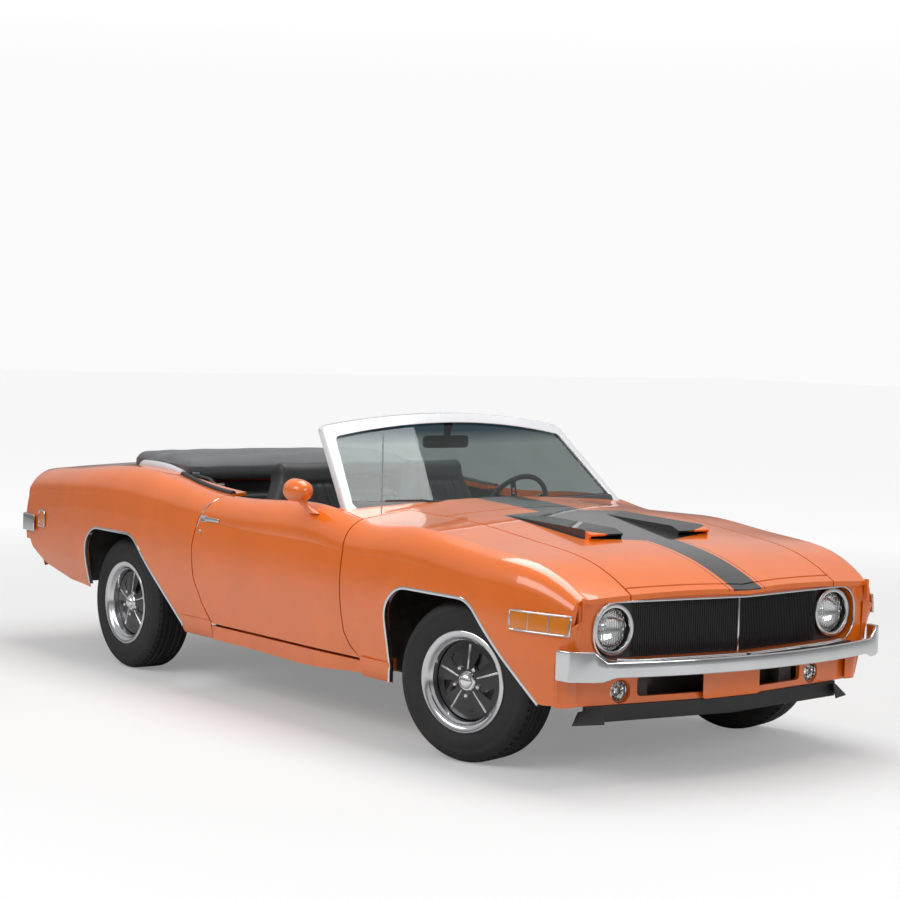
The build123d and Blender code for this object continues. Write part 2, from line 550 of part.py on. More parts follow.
# Floor pan with tunnel, frame rails, trunk floor and two tow lugs
TOW_X = 2040
TOW_Z = 287
TOW_THICK = 12
TOW_HOLE_R = 14
FLOOR_PLAN = [
    (700, -696), (-640, -696), (-640, -580), (-1690, -580), (-1690, -696), (-2300, -696), (-2300, 696), (-1690, 696),
    (-1690, 580), (-640, 580), (-640, 696), (700, 696),
]
with BuildPart() as floor_pan:
    with BuildSketch(Plane.XZ.offset(-696)):
        Polygon((699.7, 262), (-600, 262), (-680, 400), (-1000, 520), (-1560, 530), (-1640, 440), (-2285, 440),
                (-2285, 420), (-1650, 420), (-1570, 510), (-1010, 500), (-695, 382), (-610, 240), (699.7, 240), align=None)
    extrude(amount=2 * 696)
    add(plan_prism(FLOOR_PLAN, 100, 700), mode=Mode.INTERSECT)
    with BuildSketch(Plane.YZ.offset(-580)):
        Polygon((-140, 250), (-110, 420), (110, 420), (140, 250), align=None)
    extrude(amount=1279.7)
    with BuildSketch(Plane.YZ.offset(-590)):
        Polygon((-130, 200), (-95, 400), (95, 400), (130, 200), align=None)
    extrude(amount=1620, mode=Mode.SUBTRACT)
    with Locations((1415, 400, 370), (1415, -400, 370)):
        Box(1380, 70, 110)
    with Locations((400, 400, 221), (400, -400, 221)):
        Box(1800, 70, 42)
    with Locations((800, 400, 290), (800, -400, 290)):
        Box(150, 70, 130)
    with Locations((TOW_X, 400, TOW_Z), (TOW_X, -400, TOW_Z)):
        Box(70, TOW_THICK, 60)
        Cylinder(TOW_HOLE_R, 40, rotation=(90, 0, 0), mode=Mode.SUBTRACT)

# Firewall between engine bay and cabin
with BuildPart() as firewall:
    add(skin_core)
    add(plan_prism([(700, -690), (724, -690), (724, 690), (700, 690)], 265, 1100), mode=Mode.INTERSECT)
    add(screen_band(-SEAT_GAP, 300), mode=Mode.SUBTRACT)

# Wheelhouses over the wheels, with the hinge pillars and the hood's rubber stops
APRON_Y = 435.3
with BuildPart() as wheelhouse_left:
    add(side_prism([(1000, 330), (1000, 850), (1950, 800), (2080, 600), (2080, 330)], APRON_Y, APRON_Y + 16))
    with BuildSketch(Plane.XZ.offset(-800)):
        with BuildLine():
            Line((-1680, 540), (-1680, 640))
            ThreePointArc((-1680, 640), (-1265, 830), (-850, 640))
            Polyline((-850, 640), (-850, 540), (-865, 540), (-865, 635))
            ThreePointArc((-865, 635), (-1265, 814), (-1665, 635))
            Polyline((-1665, 635), (-1665, 540), (-1680, 540))
        make_face()
    extrude(amount=205)
    with BuildSketch(Plane.XZ.offset(-596)):
        with BuildLine():
            Line((-1680, 500), (-1680, 640))
            ThreePointArc((-1680, 640), (-1265, 830), (-850, 640))
            Polyline((-850, 640), (-850, 500), (-1680, 500))
        make_face()
    extrude(amount=15.7)
with BuildPart() as pillar_left:
    add(skin_core)
    add(side_prism([(755.6, 455), (755.6, 910), (840, 900), (840, 455)], 691, BODY_HALF), mode=Mode.INTERSECT)
with BuildPart() as hood_stops:
    with Locations((1250, APRON_Y + 8, 900), (1850, APRON_Y + 8, 850)):
        Cylinder(8, 200)
    add(skin_core, mode=Mode.INTERSECT)
    add(plan_prism([(1000, 300), (2000, 300), (2000, 600), (1000, 600)], 780, 1100), mode=Mode.INTERSECT)
with BuildPart() as wheelhouses:
    add(wheelhouse_left.part)
    add(pillar_left.part)
    add(hood_stops.part)
    mirror(about=Plane.XZ)

# Engine, exhaust, tank, axle
with BuildPart() as engine_block:
    with Locations((1330, 0, 555.3)):
        Box(860, 560, 480)
with BuildPart() as exhaust:
    with Locations((-700, 260, 205), (-700, -260, 205)):
        Cylinder(28, 2900, rotation=(0, 90, 0))
    with Locations((400, 260, 222), (400, -260, 222), (-400, 260, 222), (-400, -260, 222)):
        Box(40, 30, 35.4)
    with Locations((-1670, 260, 320), (-1670, -260, 320)):
        Box(20, 30, 199.4)
with BuildPart() as fuel_tank:
    with Locations((-1960, 0, 350)):
        Box(500, 700, 139)
with BuildPart() as rear_axle:
    with Locations((REAR_AXLE_X, 0, AXLE_Z)):
        Cylinder(38, 2 * (WHEEL_Y + RIM_FACE_IN - SEAT_GAP), rotation=(90, 0, 0))
        Cylinder(130, 170, rotation=(90, 0, 0))
    with Locations((REAR_AXLE_X, WHEEL_Y - 50, AXLE_Z), (REAR_AXLE_X, 50 - WHEEL_Y, AXLE_Z)):
        Cylinder(132, 70, rotation=(90, 0, 0))
    with Locations((REAR_AXLE_X - 20, 480, 281.7), (REAR_AXLE_X - 20, -480, 281.7)):
        Box(1180, 62, 20.6)
    with Locations((-735, 480, 340), (-735, -480, 340)):
        Box(60, 62, 130)
    with Locations((-1840, 480, 352), (-1840, -480, 352)):
        Box(40, 62, 135.4)
    add(floor_pan.part, mode=Mode.SUBTRACT)
with BuildPart() as front_suspension:
    with Locations((FRONT_AXLE_X, 0, 267.5)):
        Box(160, 2 * 440, 95)
    with Locations((FRONT_AXLE_X, 540, 232), (FRONT_AXLE_X, -540, 232)):
        Box(90, 240, 15.4)
    with Locations((FRONT_AXLE_X, KINGPIN_Y, 232), (FRONT_AXLE_X, -KINGPIN_Y, 232)):
        Cylinder(45, 15.4)

# Cabin
with BuildPart() as dashboard:
    with BuildSketch(Plane.XZ.offset(-690)):
        Polygon((699.7, 700), (560, 640), (470, 700), (450, 820), (500, 925), (540, 935.7), (699.7, 935.7), align=None)
    extrude(amount=2 * 690)
    add(skin_core, mode=Mode.INTERSECT)
WHEEL_X = 262
WHEEL_HUB_Y = 420
WHEEL_HUB_Z = 890
COLUMN_TILT = 25
STEERING_R = 185
wheel_plane = Plane(
    origin=(WHEEL_X, WHEEL_HUB_Y, WHEEL_HUB_Z),
    x_dir=(0, 1, 0),
    z_dir=(-cos(radians(COLUMN_TILT)), 0, sin(radians(COLUMN_TILT))),
)
with BuildPart() as steering_column:
    with BuildSketch(wheel_plane.offset(-20 - SEAT_GAP)):
        Circle(32)
    extrude(amount=-420)
with BuildPart() as dash:
    add(dashboard.part)
    add(steering_column.part)
with BuildPart() as steering_wheel:
    with BuildSketch(Plane(wheel_plane.origin, x_dir=wheel_plane.z_dir, z_dir=(0, -1, 0))) as rim_section:
        with Locations((0, STEERING_R)):
            Circle(13)
    revolve(axis=Axis(wheel_plane.origin, wheel_plane.z_dir))
    with BuildSketch(wheel_plane.offset(-20)):
        Circle(45)
        with PolarLocations(STEERING_R / 2, 3, start_angle=90):
            Rectangle(STEERING_R, 26)
    extrude(amount=14)

SEAT_Y = 385
SEAT_W = 470
SEAT_SIDE = [(220, 300), (220, 440), (150, 480), (-180, 450), (-330, 1050), (-390, 1095), (-440, 1060), (-330, 420), (-300, 300)]
with BuildPart() as front_seats:
    for side in (-1, 1):
        with BuildSketch(Plane.XZ.offset(-side * SEAT_Y - SEAT_W / 2)):
            Polygon(*SEAT_SIDE, align=None)
        extrude(amount=SEAT_W)
    with Locations((-30, SEAT_Y, 281.3), (-30, -SEAT_Y, 281.3)):
        Box(380, 380, 38)
with BuildPart() as rear_seat:
    with BuildSketch(Plane.XZ.offset(-570)):
        Polygon((-600, 404.1), (-590, 520), (-630, 560), (-830, 545), (-940, 900), (-1000, 905), (-1000, 520.4),
                (-690, 404.1), align=None)
    extrude(amount=2 * 570)

with BuildPart() as folded_top:
    with BuildSketch(Plane.XZ.offset(-COCKPIT_HALF + SEAT_GAP)) as top_outline:
        Polygon((-880, 985), (-900, 1060), (-1000, 1098), (-1300, 1100), (-1420, 1060), (-1470, 1000), (-1470, 960),
                (-1020, 960), align=None)
    extrude(amount=2 * (COCKPIT_HALF - SEAT_GAP))

with BuildPart() as rear_trim:
    with BuildSketch(Plane.XZ.offset(-DOOR_INNER_Y + 16)):
        Polygon((-360, 326.3), (-360, 912), (-900, 950), (-1480, 960), (-1480, 850), (-860, 850), (-700, 560), (-620, 326.3),
                align=None)
    extrude(amount=22)
    mirror(about=Plane.XZ)
    with Locations((-1010.3, 0, 735.3)):
        Box(20, 2 * 570, 429.4)

# Door fittings: handle and lock on both doors, and the outside mirror on the right
with BuildPart() as handle_left:
    with Locations((-335, 926, 829)):
        Box(160, 14, 16)
    with Locations((-268, 918, 829), (-402, 918, 829)):
        Box(26, 30, 18)
    add(body_outer, mode=Mode.SUBTRACT)
with BuildPart() as fittings_left:
    add(handle_left.part)
with BuildPart() as fittings_right:
    mirror(handle_left.part, about=Plane.XZ)
MIRROR = (412, -917, 1016)
MIRROR_R = 58
with BuildPart() as mirror_right:
    with Locations(MIRROR):
        Sphere(MIRROR_R)
    with Locations((MIRROR[0] - MIRROR_R, MIRROR[1], MIRROR[2])):
        Box(MIRROR_R, 140, 140, mode=Mode.SUBTRACT)
    with BuildSketch(Plane.XZ.offset(868)):
        Polygon((395, 985), (440, 985), (505, 925), (440, 925), align=None)
    extrude(amount=42)
    add(body_outer, mode=Mode.SUBTRACT)
with BuildPart() as antenna:
    with Locations((735, -700, 1100)):
        Cylinder(3, 374)
    add(body_outer, mode=Mode.SUBTRACT)

# Wheels
TREAD_HALF = 88
BULGE_R = 262
with BuildPart() as tyre_blank:
    with BuildSketch(Plane.XY) as tyre_section:
        with BuildLine():
            Polyline((BEAD_R, -RIM_HALF_W), (BULGE_R, -TYRE_W / 2), (TYRE_R - 14, -TREAD_HALF), (TYRE_R, -TREAD_HALF + 16),
                     (TYRE_R, TREAD_HALF - 16), (TYRE_R - 14, TREAD_HALF), (BULGE_R, TYRE_W / 2), (BEAD_R, RIM_HALF_W),
                     (BEAD_R, -RIM_HALF_W))
        make_face()
    revolve(axis=Axis.Y)
SPOKE_COUNT = 5
SPOKE_DEPTH = 20
DISC_R = 156
CAP_R = 44
with BuildPart() as rim_blank:
    with BuildSketch(Plane.XY):
        with BuildLine():
            Polyline((BEAD_R - SEAT_GAP, RIM_HALF_W), (RIM_R, RIM_HALF_W + 12), (178, RIM_HALF_W + 12),
                     (164, RIM_HALF_W - 14), (DISC_R, 20), (150, -80), (178, -RIM_HALF_W - 10),
                     (RIM_R, -RIM_HALF_W - 10), (BEAD_R - SEAT_GAP, -RIM_HALF_W), (BEAD_R - SEAT_GAP, RIM_HALF_W))
        make_face()
    revolve(axis=Axis.Y)
    with BuildSketch(Plane.XZ.offset(-RIM_FACE_IN - SPOKE_DEPTH)):
        Circle(DISC_R + 6)
        with PolarLocations(104, SPOKE_COUNT, start_angle=126):
            Trapezoid(78, 74, 74, mode=Mode.SUBTRACT)
    extrude(amount=SPOKE_DEPTH)
    with BuildSketch(Plane.XZ.offset(-RIM_FACE_IN - SPOKE_DEPTH)):
        Circle(CAP_R)
    extrude(amount=-26)


def wheel_place(axle_x, side):
    """Where a wheel sits: front wheels follow the steered kingpins."""
    turn = STEER_DEG if axle_x == FRONT_AXLE_X else 0
    arm = side * (WHEEL_Y - KINGPIN_Y)
    x = axle_x - arm * sin(radians(turn))
    y = side * KINGPIN_Y + arm * cos(radians(turn))
    return Location((x, y, AXLE_Z), (0, 0, turn + (0 if side > 0 else 180)))


wheels = {}
for end, axle_x in (("front", FRONT_AXLE_X), ("rear", REAR_AXLE_X)):
    for side_name, side in (("left", 1), ("right", -1)):
        for kind, blank in (("tyre", tyre_blank), ("rim", rim_blank)):
            with BuildPart() as wheel_piece:
                with Locations(wheel_place(axle_x, side)):
                    add(blank.part)
            wheels[f"{kind}_{end}_{side_name}"] = wheel_piece.part

with BuildPart() as knuckle_left:
    with Locations(Location((FRONT_AXLE_X, KINGPIN_Y, AXLE_Z), (0, 0, STEER_DEG))):
        Box(60, 50, 180)
    with Locations(Location((FRONT_AXLE_X, KINGPIN_Y, AXLE_Z), (0, 0, STEER_DEG))):
        with Locations((0, (WHEEL_Y - KINGPIN_Y + RIM_FACE_IN - SEAT_GAP) / 2, 0)):
            Cylinder(26, WHEEL_Y - KINGPIN_Y + RIM_FACE_IN - SEAT_GAP, rotation=(90, 0, 0))
with BuildPart() as knuckle_right:
    with Locations(Location((FRONT_AXLE_X, -KINGPIN_Y, AXLE_Z), (0, 0, STEER_DEG + 180))):
        Box(60, 50, 180)
    with Locations(Location((FRONT_AXLE_X, -KINGPIN_Y, AXLE_Z), (0, 0, STEER_DEG + 180))):
        with Locations((0, (WHEEL_Y - KINGPIN_Y + RIM_FACE_IN - SEAT_GAP) / 2, 0)):
            Cylinder(26, WHEEL_Y - KINGPIN_Y + RIM_FACE_IN - SEAT_GAP, rotation=(90, 0, 0))

PIECES = {
    "floor_pan": floor_pan.part, "firewall": firewall.part, "wheelhouses": wheelhouses.part, "sills": sills.part,
    "cowl_panel": cowl_panel.part, "fender_left": fender_left.part, "fender_right": fender_right.part,
    "quarter_left": quarter_left.part, "quarter_right": quarter_right.part, "tail_panel": tail_panel.part,
    "nose_panel": nose_panel.part, "hood": hood.part, "deck_lid": deck_lid.part, "door_left": door_left.part,
    "door_right": door_right.part, "fittings_left": fittings_left.part, "fittings_right": fittings_right.part,
    "mirror_right": mirror_right.part, "inside_mirror": inside_mirror.part, "grille_trim": grille_trim.part,
    "side_markers": side_markers.part,
    "windshield_frame": windshield_frame.part, "windshield_glass": windshield_glass.part, "grille": grille.part,
    "front_lamps": front_lamps.part, "front_bumper": front_bumper.part, "front_valance": front_valance.part,
    "chin_spoiler": chin_spoiler.part, "front_plate": front_plate.part, "rear_bumper": rear_bumper.part,
    "tail_lamps": tail_lamps.part, "dashboard": dash.part, "steering_wheel": steering_wheel.part,
    "front_seats": front_seats.part, "rear_seat": rear_seat.part, "rear_trim": rear_trim.part,
    "folded_top": folded_top.part, "engine_block": engine_block.part, "exhaust": exhaust.part,
    "fuel_tank": fuel_tank.part, "rear_axle": rear_axle.part, "front_suspension": front_suspension.part,
    "knuckle_left": knuckle_left.part, "knuckle_right": knuckle_right.part, "antenna": antenna.part, **wheels,
}
for name, piece in PIECES.items():
    piece.label = name
    export_step(piece, f"parts/{name}.step")
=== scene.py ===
"""A classic open two-door muscle car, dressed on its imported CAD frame."""

import json
import logging
import math
from contextlib import contextmanager
from dataclasses import dataclass, field
from enum import Enum
from typing import Callable, Iterator, Sequence

import bmesh
import bpy
from mathutils import Matrix, Vector

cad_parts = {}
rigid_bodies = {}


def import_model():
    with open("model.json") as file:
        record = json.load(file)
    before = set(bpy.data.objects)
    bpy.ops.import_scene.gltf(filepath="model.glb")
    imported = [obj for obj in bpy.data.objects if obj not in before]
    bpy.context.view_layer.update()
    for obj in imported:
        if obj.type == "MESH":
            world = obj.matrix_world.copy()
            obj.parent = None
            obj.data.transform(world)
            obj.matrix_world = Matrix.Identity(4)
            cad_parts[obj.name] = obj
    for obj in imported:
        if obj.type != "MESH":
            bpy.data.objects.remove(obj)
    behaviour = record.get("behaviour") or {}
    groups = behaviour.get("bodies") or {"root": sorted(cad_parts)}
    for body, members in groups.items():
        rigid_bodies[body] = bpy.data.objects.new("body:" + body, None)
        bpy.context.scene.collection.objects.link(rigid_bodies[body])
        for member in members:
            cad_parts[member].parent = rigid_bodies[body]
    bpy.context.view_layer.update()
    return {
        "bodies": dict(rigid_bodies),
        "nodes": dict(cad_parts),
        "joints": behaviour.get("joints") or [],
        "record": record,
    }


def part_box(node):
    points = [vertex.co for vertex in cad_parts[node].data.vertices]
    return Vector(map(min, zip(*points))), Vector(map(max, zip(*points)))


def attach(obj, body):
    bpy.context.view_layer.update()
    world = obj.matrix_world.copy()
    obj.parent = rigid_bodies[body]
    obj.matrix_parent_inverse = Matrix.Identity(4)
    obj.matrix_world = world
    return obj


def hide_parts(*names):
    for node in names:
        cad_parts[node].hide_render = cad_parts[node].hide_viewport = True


LOG = logging.getLogger("muscle_car")
Point = tuple[float, float, float]
Color = tuple[float, float, float]
Piece = bpy.types.Object
Node = bpy.types.Node
Socket = bpy.types.NodeSocket
FaceTest = Callable[[Vector, Vector], bool]

# Measures of the car in metres: axles, wheels, steering as drawn and the widest place of the skin.
FRONT_AXLE_X = 1.49
REAR_AXLE_X = -1.265
AXLE_Z = 0.33
TYRE_R = 0.33
WHEEL_Y = 0.75
KINGPIN_Y = 0.70
STEER = math.radians(16)
BODY_HALF = 0.9298
# How well a face's normal has to agree with a direction to count as looking that way.
AGREES = 0.9


class Side(Enum):
    """Left or right of the car, as the sign of Y."""

    LEFT = 1
    RIGHT = -1

    @property
    def word(self) -> str:
        """The side's name in small letters, for the names of pieces and bodies."""
        return self.name.lower()


class End(Enum):
    """Front or rear of the car."""

    FRONT = "front"
    REAR = "rear"


class NodeGraph:
    """Places and links shader nodes in one tree, left to right."""

    def __init__(self, tree: bpy.types.NodeTree, emptied: bool = True) -> None:
        """Starts on a tree.

        Args:
            tree: The material's, the group's or the world's node tree.
            emptied: Whether the nodes that are there already go first.
        """
        if emptied:
            tree.nodes.clear()
        self.tree = tree
        self.coords: Socket | None = None
        self.split: Node | None = None

    def add(self, kind: str, inputs: dict | None = None, **settings: object) -> Node:
        """Adds a node and sets or links its inputs.

        Args:
            kind: The node's type name.
            inputs: Socket name or number to a value or to an output socket.
            settings: The node's own properties.

        Returns:
            The new node.
        """
        node = self.tree.nodes.new(kind)
        node.location = (220 * len(self.tree.nodes), 0)
        for name, value in settings.items():
            setattr(node, name, value)
        for name, value in (inputs or {}).items():
            if isinstance(value, Socket):
                self.tree.links.new(value, node.inputs[name])
            else:
                node.inputs[name].default_value = value
        return node

    def math(self, operation: str, *values: object, clamp: bool = False) -> Socket:
        """Adds a Math node and returns its output."""
        node = self.add("ShaderNodeMath", dict(enumerate(values)), operation=operation, use_clamp=clamp)
        return node.outputs[0]

    def mix(self, factor: object, first: object, second: object) -> Socket:
        """Mixes two colours and returns the output."""
        return self.add("ShaderNodeMix", {0: factor, 6: first, 7: second}, data_type="RGBA").outputs[2]

    def step(self, value: object, low: float, high: float) -> Socket:
        """Ramps a value from 0 at low to 1 at high."""
        return self.ramp(value, (low, high), (0.0, 1.0))

    def ramp(self, value: object, given: tuple[float, float], wanted: tuple[float, float],
             kind: str = "LINEAR") -> Socket:
        """Maps one range of values to another and holds it at both ends.

        Args:
            value: The value to map.
            given: The range it comes in.
            wanted: The range it leaves in.
            kind: How it runs between the ends.

        Returns:
            The mapped value's socket.
        """
        ends = {"From Min": given[0], "From Max": given[1], "To Min": wanted[0], "To Max": wanted[1]}
        node = self.add("ShaderNodeMapRange", {"Value": value, **ends}, interpolation_type=kind)
        return node.outputs["Result"]

    def feed(self, value: Socket, node: Node, name: str) -> None:
        """Links a value to a node's input."""
        self.tree.links.new(value, node.inputs[name])

    def bump(self, height: Socket, strength: float, depth: float, shader: Node) -> None:
        """Turns a height into the shader's normal."""
        node = self.add("ShaderNodeBump", {"Strength": strength, "Distance": depth, "Height": height})
        self.feed(node.outputs[0], shader, "Normal")

    def place(self) -> None:
        """Adds object coordinates, whole and split in X, Y and Z."""
        self.coords = self.add("ShaderNodeTexCoord").outputs["Object"]
        self.split = self.add("ShaderNodeSeparateXYZ", {0: self.coords})

    def group(self, name: str, inputs: dict) -> Node:
        """Places a shared effect with this material's place and values."""
        effect = bpy.data.node_groups[name]
        return self.add("ShaderNodeGroup", {"Position": self.coords, **inputs}, node_tree=effect)


class SharedEffects:
    """Shader node groups that several finishes use."""

    def build(self) -> None:
        """Builds each group once."""
        self._grain()
        self._road_dust()
        self._uneven_shade()

    def _open(self, name: str, inputs: dict[str, float], *outputs: str) -> tuple:
        """Makes an empty group with its sockets, the first one for the position.

        Args:
            name: The group's name.
            inputs: Default of each number that goes in, by its socket's name.
            outputs: Name of each number that comes out.

        Returns:
            The graph, the input node's outputs and the output node.
        """
        tree = bpy.data.node_groups.new(name, "ShaderNodeTree")
        tree.interface.new_socket("Position", in_out="INPUT", socket_type="NodeSocketVector")
        for label, value in inputs.items():
            socket = tree.interface.new_socket(label, in_out="INPUT", socket_type="NodeSocketFloat")
            socket.default_value = value
        for label in outputs:
            tree.interface.new_socket(label, in_out="OUTPUT", socket_type="NodeSocketFloat")
        graph = NodeGraph(tree)
        start = graph.add("NodeGroupInput")
        end = graph.add("NodeGroupOutput")
        return graph, start.outputs, end

    def _grain(self) -> None:
        """Fine noise: a roughness that wanders and a height for bump."""
        graph, given, end = self._open(
            "surface_grain", {"Scale": 60.0, "Roughness": 0.4, "Spread": 0.1}, "Roughness", "Height")
        fine = graph.add("ShaderNodeTexNoise",
                         {"Vector": given["Position"], "Scale": given["Scale"], "Detail": 6.0})
        broad = graph.add("ShaderNodeTexNoise", {"Vector": given["Position"], "Scale": 3.0, "Detail": 3.0})
        drift = graph.math("SUBTRACT", broad.outputs["Fac"], 0.5)
        spread = graph.math("MULTIPLY", drift, given["Spread"])
        rough = graph.math("ADD", given["Roughness"], spread, clamp=True)
        graph.feed(rough, end, "Roughness")
        graph.feed(fine.outputs["Fac"], end, "Height")

    def _road_dust(self) -> None:
        """A mask that is strongest low on the car and breaks up with noise."""
        graph, given, end = self._open("road_dust", {"Top": 0.5, "Amount": 0.3}, "Mask")
        height = graph.add("ShaderNodeSeparateXYZ", {0: given["Position"]}).outputs["Z"]
        low = graph.math("SUBTRACT", 1.0, graph.math("DIVIDE", height, given["Top"]), clamp=True)
        cloud = graph.add("ShaderNodeTexNoise", {"Vector": given["Position"], "Scale": 9.0, "Detail": 8.0})
        broken = graph.step(cloud.outputs["Fac"], 0.3, 0.75)
        mask = graph.math("MULTIPLY", graph.math("MULTIPLY", low, broken), given["Amount"], clamp=True)
        graph.feed(mask, end, "Mask")

    def _uneven_shade(self) -> None:
        """A mask of soft patches for a surface that is darker in some places."""
        graph, given, end = self._open("uneven_shade", {"Amount": 0.5}, "Mask")
        patch = graph.add("ShaderNodeTexNoise", {"Vector": given["Position"], "Scale": 14.0, "Detail": 5.0})
        mask = graph.math("MULTIPLY", graph.step(patch.outputs["Fac"], 0.35, 0.7), given["Amount"], clamp=True)
        graph.feed(mask, end, "Mask")


@dataclass(frozen=True)
class Finish:
    """One surface finish, with grain, dust and bump worked out by nodes."""

    name: str
    slot: str
    color: Color
    roughness: float = 0.5
    metallic: float = 0.0
    coat: float = 0.0
    coat_roughness: float = 0.03
    specular: float = 0.5
    sheen: float = 0.0
    grain_scale: float = 60.0
    grain_spread: float = 0.1
    bump: float = 0.0
    bump_depth: float = 0.001
    dust: float = 0.0
    dust_top: float = 0.5
    dust_color: Color = (0.32, 0.27, 0.22)
    patch: float = 0.0

    def build(self) -> bpy.types.Material:
        """Makes the material.

        Returns:
            The finished Blender material.
        """
        material = bpy.data.materials.new(self.name)
        material.use_nodes = True
        material.diffuse_color = (*self.color, 1.0)
        graph = NodeGraph(material.node_tree)
        graph.place()
        grain = graph.group("surface_grain", {"Scale": self.grain_scale, "Roughness": self.roughness,
                                              "Spread": self.grain_spread})
        color = self.tint(graph)
        if self.patch:
            shade = graph.group("uneven_shade", {"Amount": self.patch})
            color = graph.mix(shade.outputs["Mask"], color, self.toned(0.45))
        if self.dust:
            dust = graph.group("road_dust", {"Top": self.dust_top, "Amount": self.dust})
            color = graph.mix(dust.outputs["Mask"], color, (*self.dust_color, 1.0))
        shader = graph.add("ShaderNodeBsdfPrincipled", {
            "Base Color": color, "Roughness": grain.outputs["Roughness"], "Metallic": self.metallic,
            "Coat Weight": self.coat, "Coat Roughness": self.coat_roughness,
            "Specular IOR Level": self.specular, "Sheen Weight": self.sheen})
        self.relief(graph, grain.outputs["Height"], shader)
        self.finish_shader(shader)
        graph.add("ShaderNodeOutputMaterial", {"Surface": shader.outputs[0]})
        return material

    def tint(self, graph: NodeGraph) -> Socket:
        """The colour, drifting a little over the surface.

        Args:
            graph: The material's graph.

        Returns:
            The colour's socket.
        """
        drift = graph.add("ShaderNodeTexNoise", {"Vector": graph.coords, "Scale": 5.0, "Detail": 4.0})
        return graph.mix(drift.outputs["Fac"], self.toned(0.88), self.toned(1.12, 0.004))

    def toned(self, factor: float, lift: float = 0.0) -> tuple[float, float, float, float]:
        """The finish's own colour, darker or lighter."""
        return (*(min(1.0, channel * factor + lift) for channel in self.color), 1.0)

    def relief(self, graph: NodeGraph, height: Socket, shader: Node) -> None:
        """Links the grain's height to the shader's normal.

        Args:
            graph: The material's graph.
            height: The grain's height.
            shader: The shader that gets the normal.
        """
        if self.bump:
            graph.bump(height, self.bump, self.bump_depth, shader)

    def finish_shader(self, shader: Node) -> None:
        """A place for a finish's own constants on the shader."""


@dataclass(frozen=True)
class BodyPaint(Finish):
    """Orange enamel with the black stripe down the hood."""

    # The black of the stripe and the scoops, also used for the thin line of painted shade that stands in for a
    # crease beside the stripe.
    stripe: Color = (0.012, 0.012, 0.013)
    stripe_half: float = 0.076
    scoop_half: float = 0.350
    cowl_half: float = 0.130
    low_edge: float = 0.74
    rear_edge: float = 0.50
    # Gap from the stripe's edge to the thin dark line of painted crease shade.
    pinline_gap: float = 0.020

    def tint(self, graph: NodeGraph) -> Socket:
        """Orange, with black on the stripe, the scoops and between them, and a thin dark line of painted crease
        shade beside the stripe.

        Args:
            graph: The material's graph.

        Returns:
            The colour's socket.
        """
        paint = super().tint(graph)
        off = graph.math("ABSOLUTE", graph.split.outputs["Y"])
        along = graph.split.outputs["X"]
        widen = graph.math("MULTIPLY", graph.step(along, 1.76, 1.66), self.scoop_half - self.stripe_half)
        narrow = graph.math("MULTIPLY", graph.step(along, 1.14, 1.12), self.cowl_half - self.scoop_half)
        edge = graph.math("ADD", graph.math("ADD", widen, narrow), self.stripe_half)
        inside = graph.math("LESS_THAN", off, edge)
        on_top = graph.math("GREATER_THAN", graph.split.outputs["Z"], self.low_edge)
        ahead = graph.math("GREATER_THAN", along, self.rear_edge)
        black = graph.math("MULTIPLY", graph.math("MULTIPLY", inside, on_top), ahead)
        # A thin dark line beside the stripe near the nose: painted shade standing in for a crease in the hood.
        line = graph.math("COMPARE", off, self.stripe_half + self.pinline_gap, 0.0022)
        line = graph.math("MULTIPLY", line, graph.math("GREATER_THAN", along, 1.72))
        line = graph.math("MULTIPLY", line, on_top)
        return graph.mix(graph.math("MAXIMUM", black, line), paint, (*self.stripe, 1.0))


@dataclass(frozen=True)
class Glazing(Finish):
    """Clear or tinted glass."""

    transmission: float = 1.0
    ior: float = 1.45
    band: Color | None = None
    band_low: float = 1.215
    band_high: float = 1.275

    def tint(self, graph: NodeGraph) -> Socket:
        """The glass colour, with a darker band at its top where it has one.

        Args:
            graph: The material's graph.

        Returns:
            The colour's socket.
        """
        base = super().tint(graph)
        if self.band is None:
            return base
        high = graph.step(graph.split.outputs["Z"], self.band_low, self.band_high)
        return graph.mix(high, base, (*self.band, 1.0))

    def finish_shader(self, shader: Node) -> None:
        """Sets how much light passes and how it bends."""
        shader.inputs["Transmission Weight"].default_value = self.transmission
        shader.inputs["IOR"].default_value = self.ior


@dataclass(frozen=True)
class Fluted(Glazing):
    """Lamp glass with upright flutes and cross ribs."""

    def relief(self, graph: NodeGraph, height: Socket, shader: Node) -> None:
        """Upright flutes and finer cross ribs as bump.

        Args:
            graph: The material's graph.
            height: The grain's height, not used here.
            shader: The shader that gets the normal.
        """
        flutes = graph.math("SINE", graph.math("MULTIPLY", graph.split.outputs["Y"], 520.0))
        ribs = graph.math("SINE", graph.math("MULTIPLY", graph.split.outputs["Z"], 240.0))
        both = graph.math("ADD", flutes, graph.math("MULTIPLY", ribs, 0.5))
        graph.bump(both, self.bump, self.bump_depth, shader)


@dataclass(frozen=True)
class Woven(Finish):
    """Cloth with a fine square weave."""

    thread: float = 900.0

    def relief(self, graph: NodeGraph, height: Socket, shader: Node) -> None:
        """Crossing threads as bump.

        Args:
            graph: The material's graph.
            height: The grain's height.
            shader: The shader that gets the normal.
        """
        across = graph.math("SINE", graph.math("MULTIPLY", graph.split.outputs["Y"], self.thread))
        along = graph.math("SINE", graph.math("MULTIPLY", graph.split.outputs["X"], self.thread))
        weave = graph.math("ADD", graph.math("MULTIPLY", across, along), height)
        graph.bump(weave, self.bump, self.bump_depth, shader)


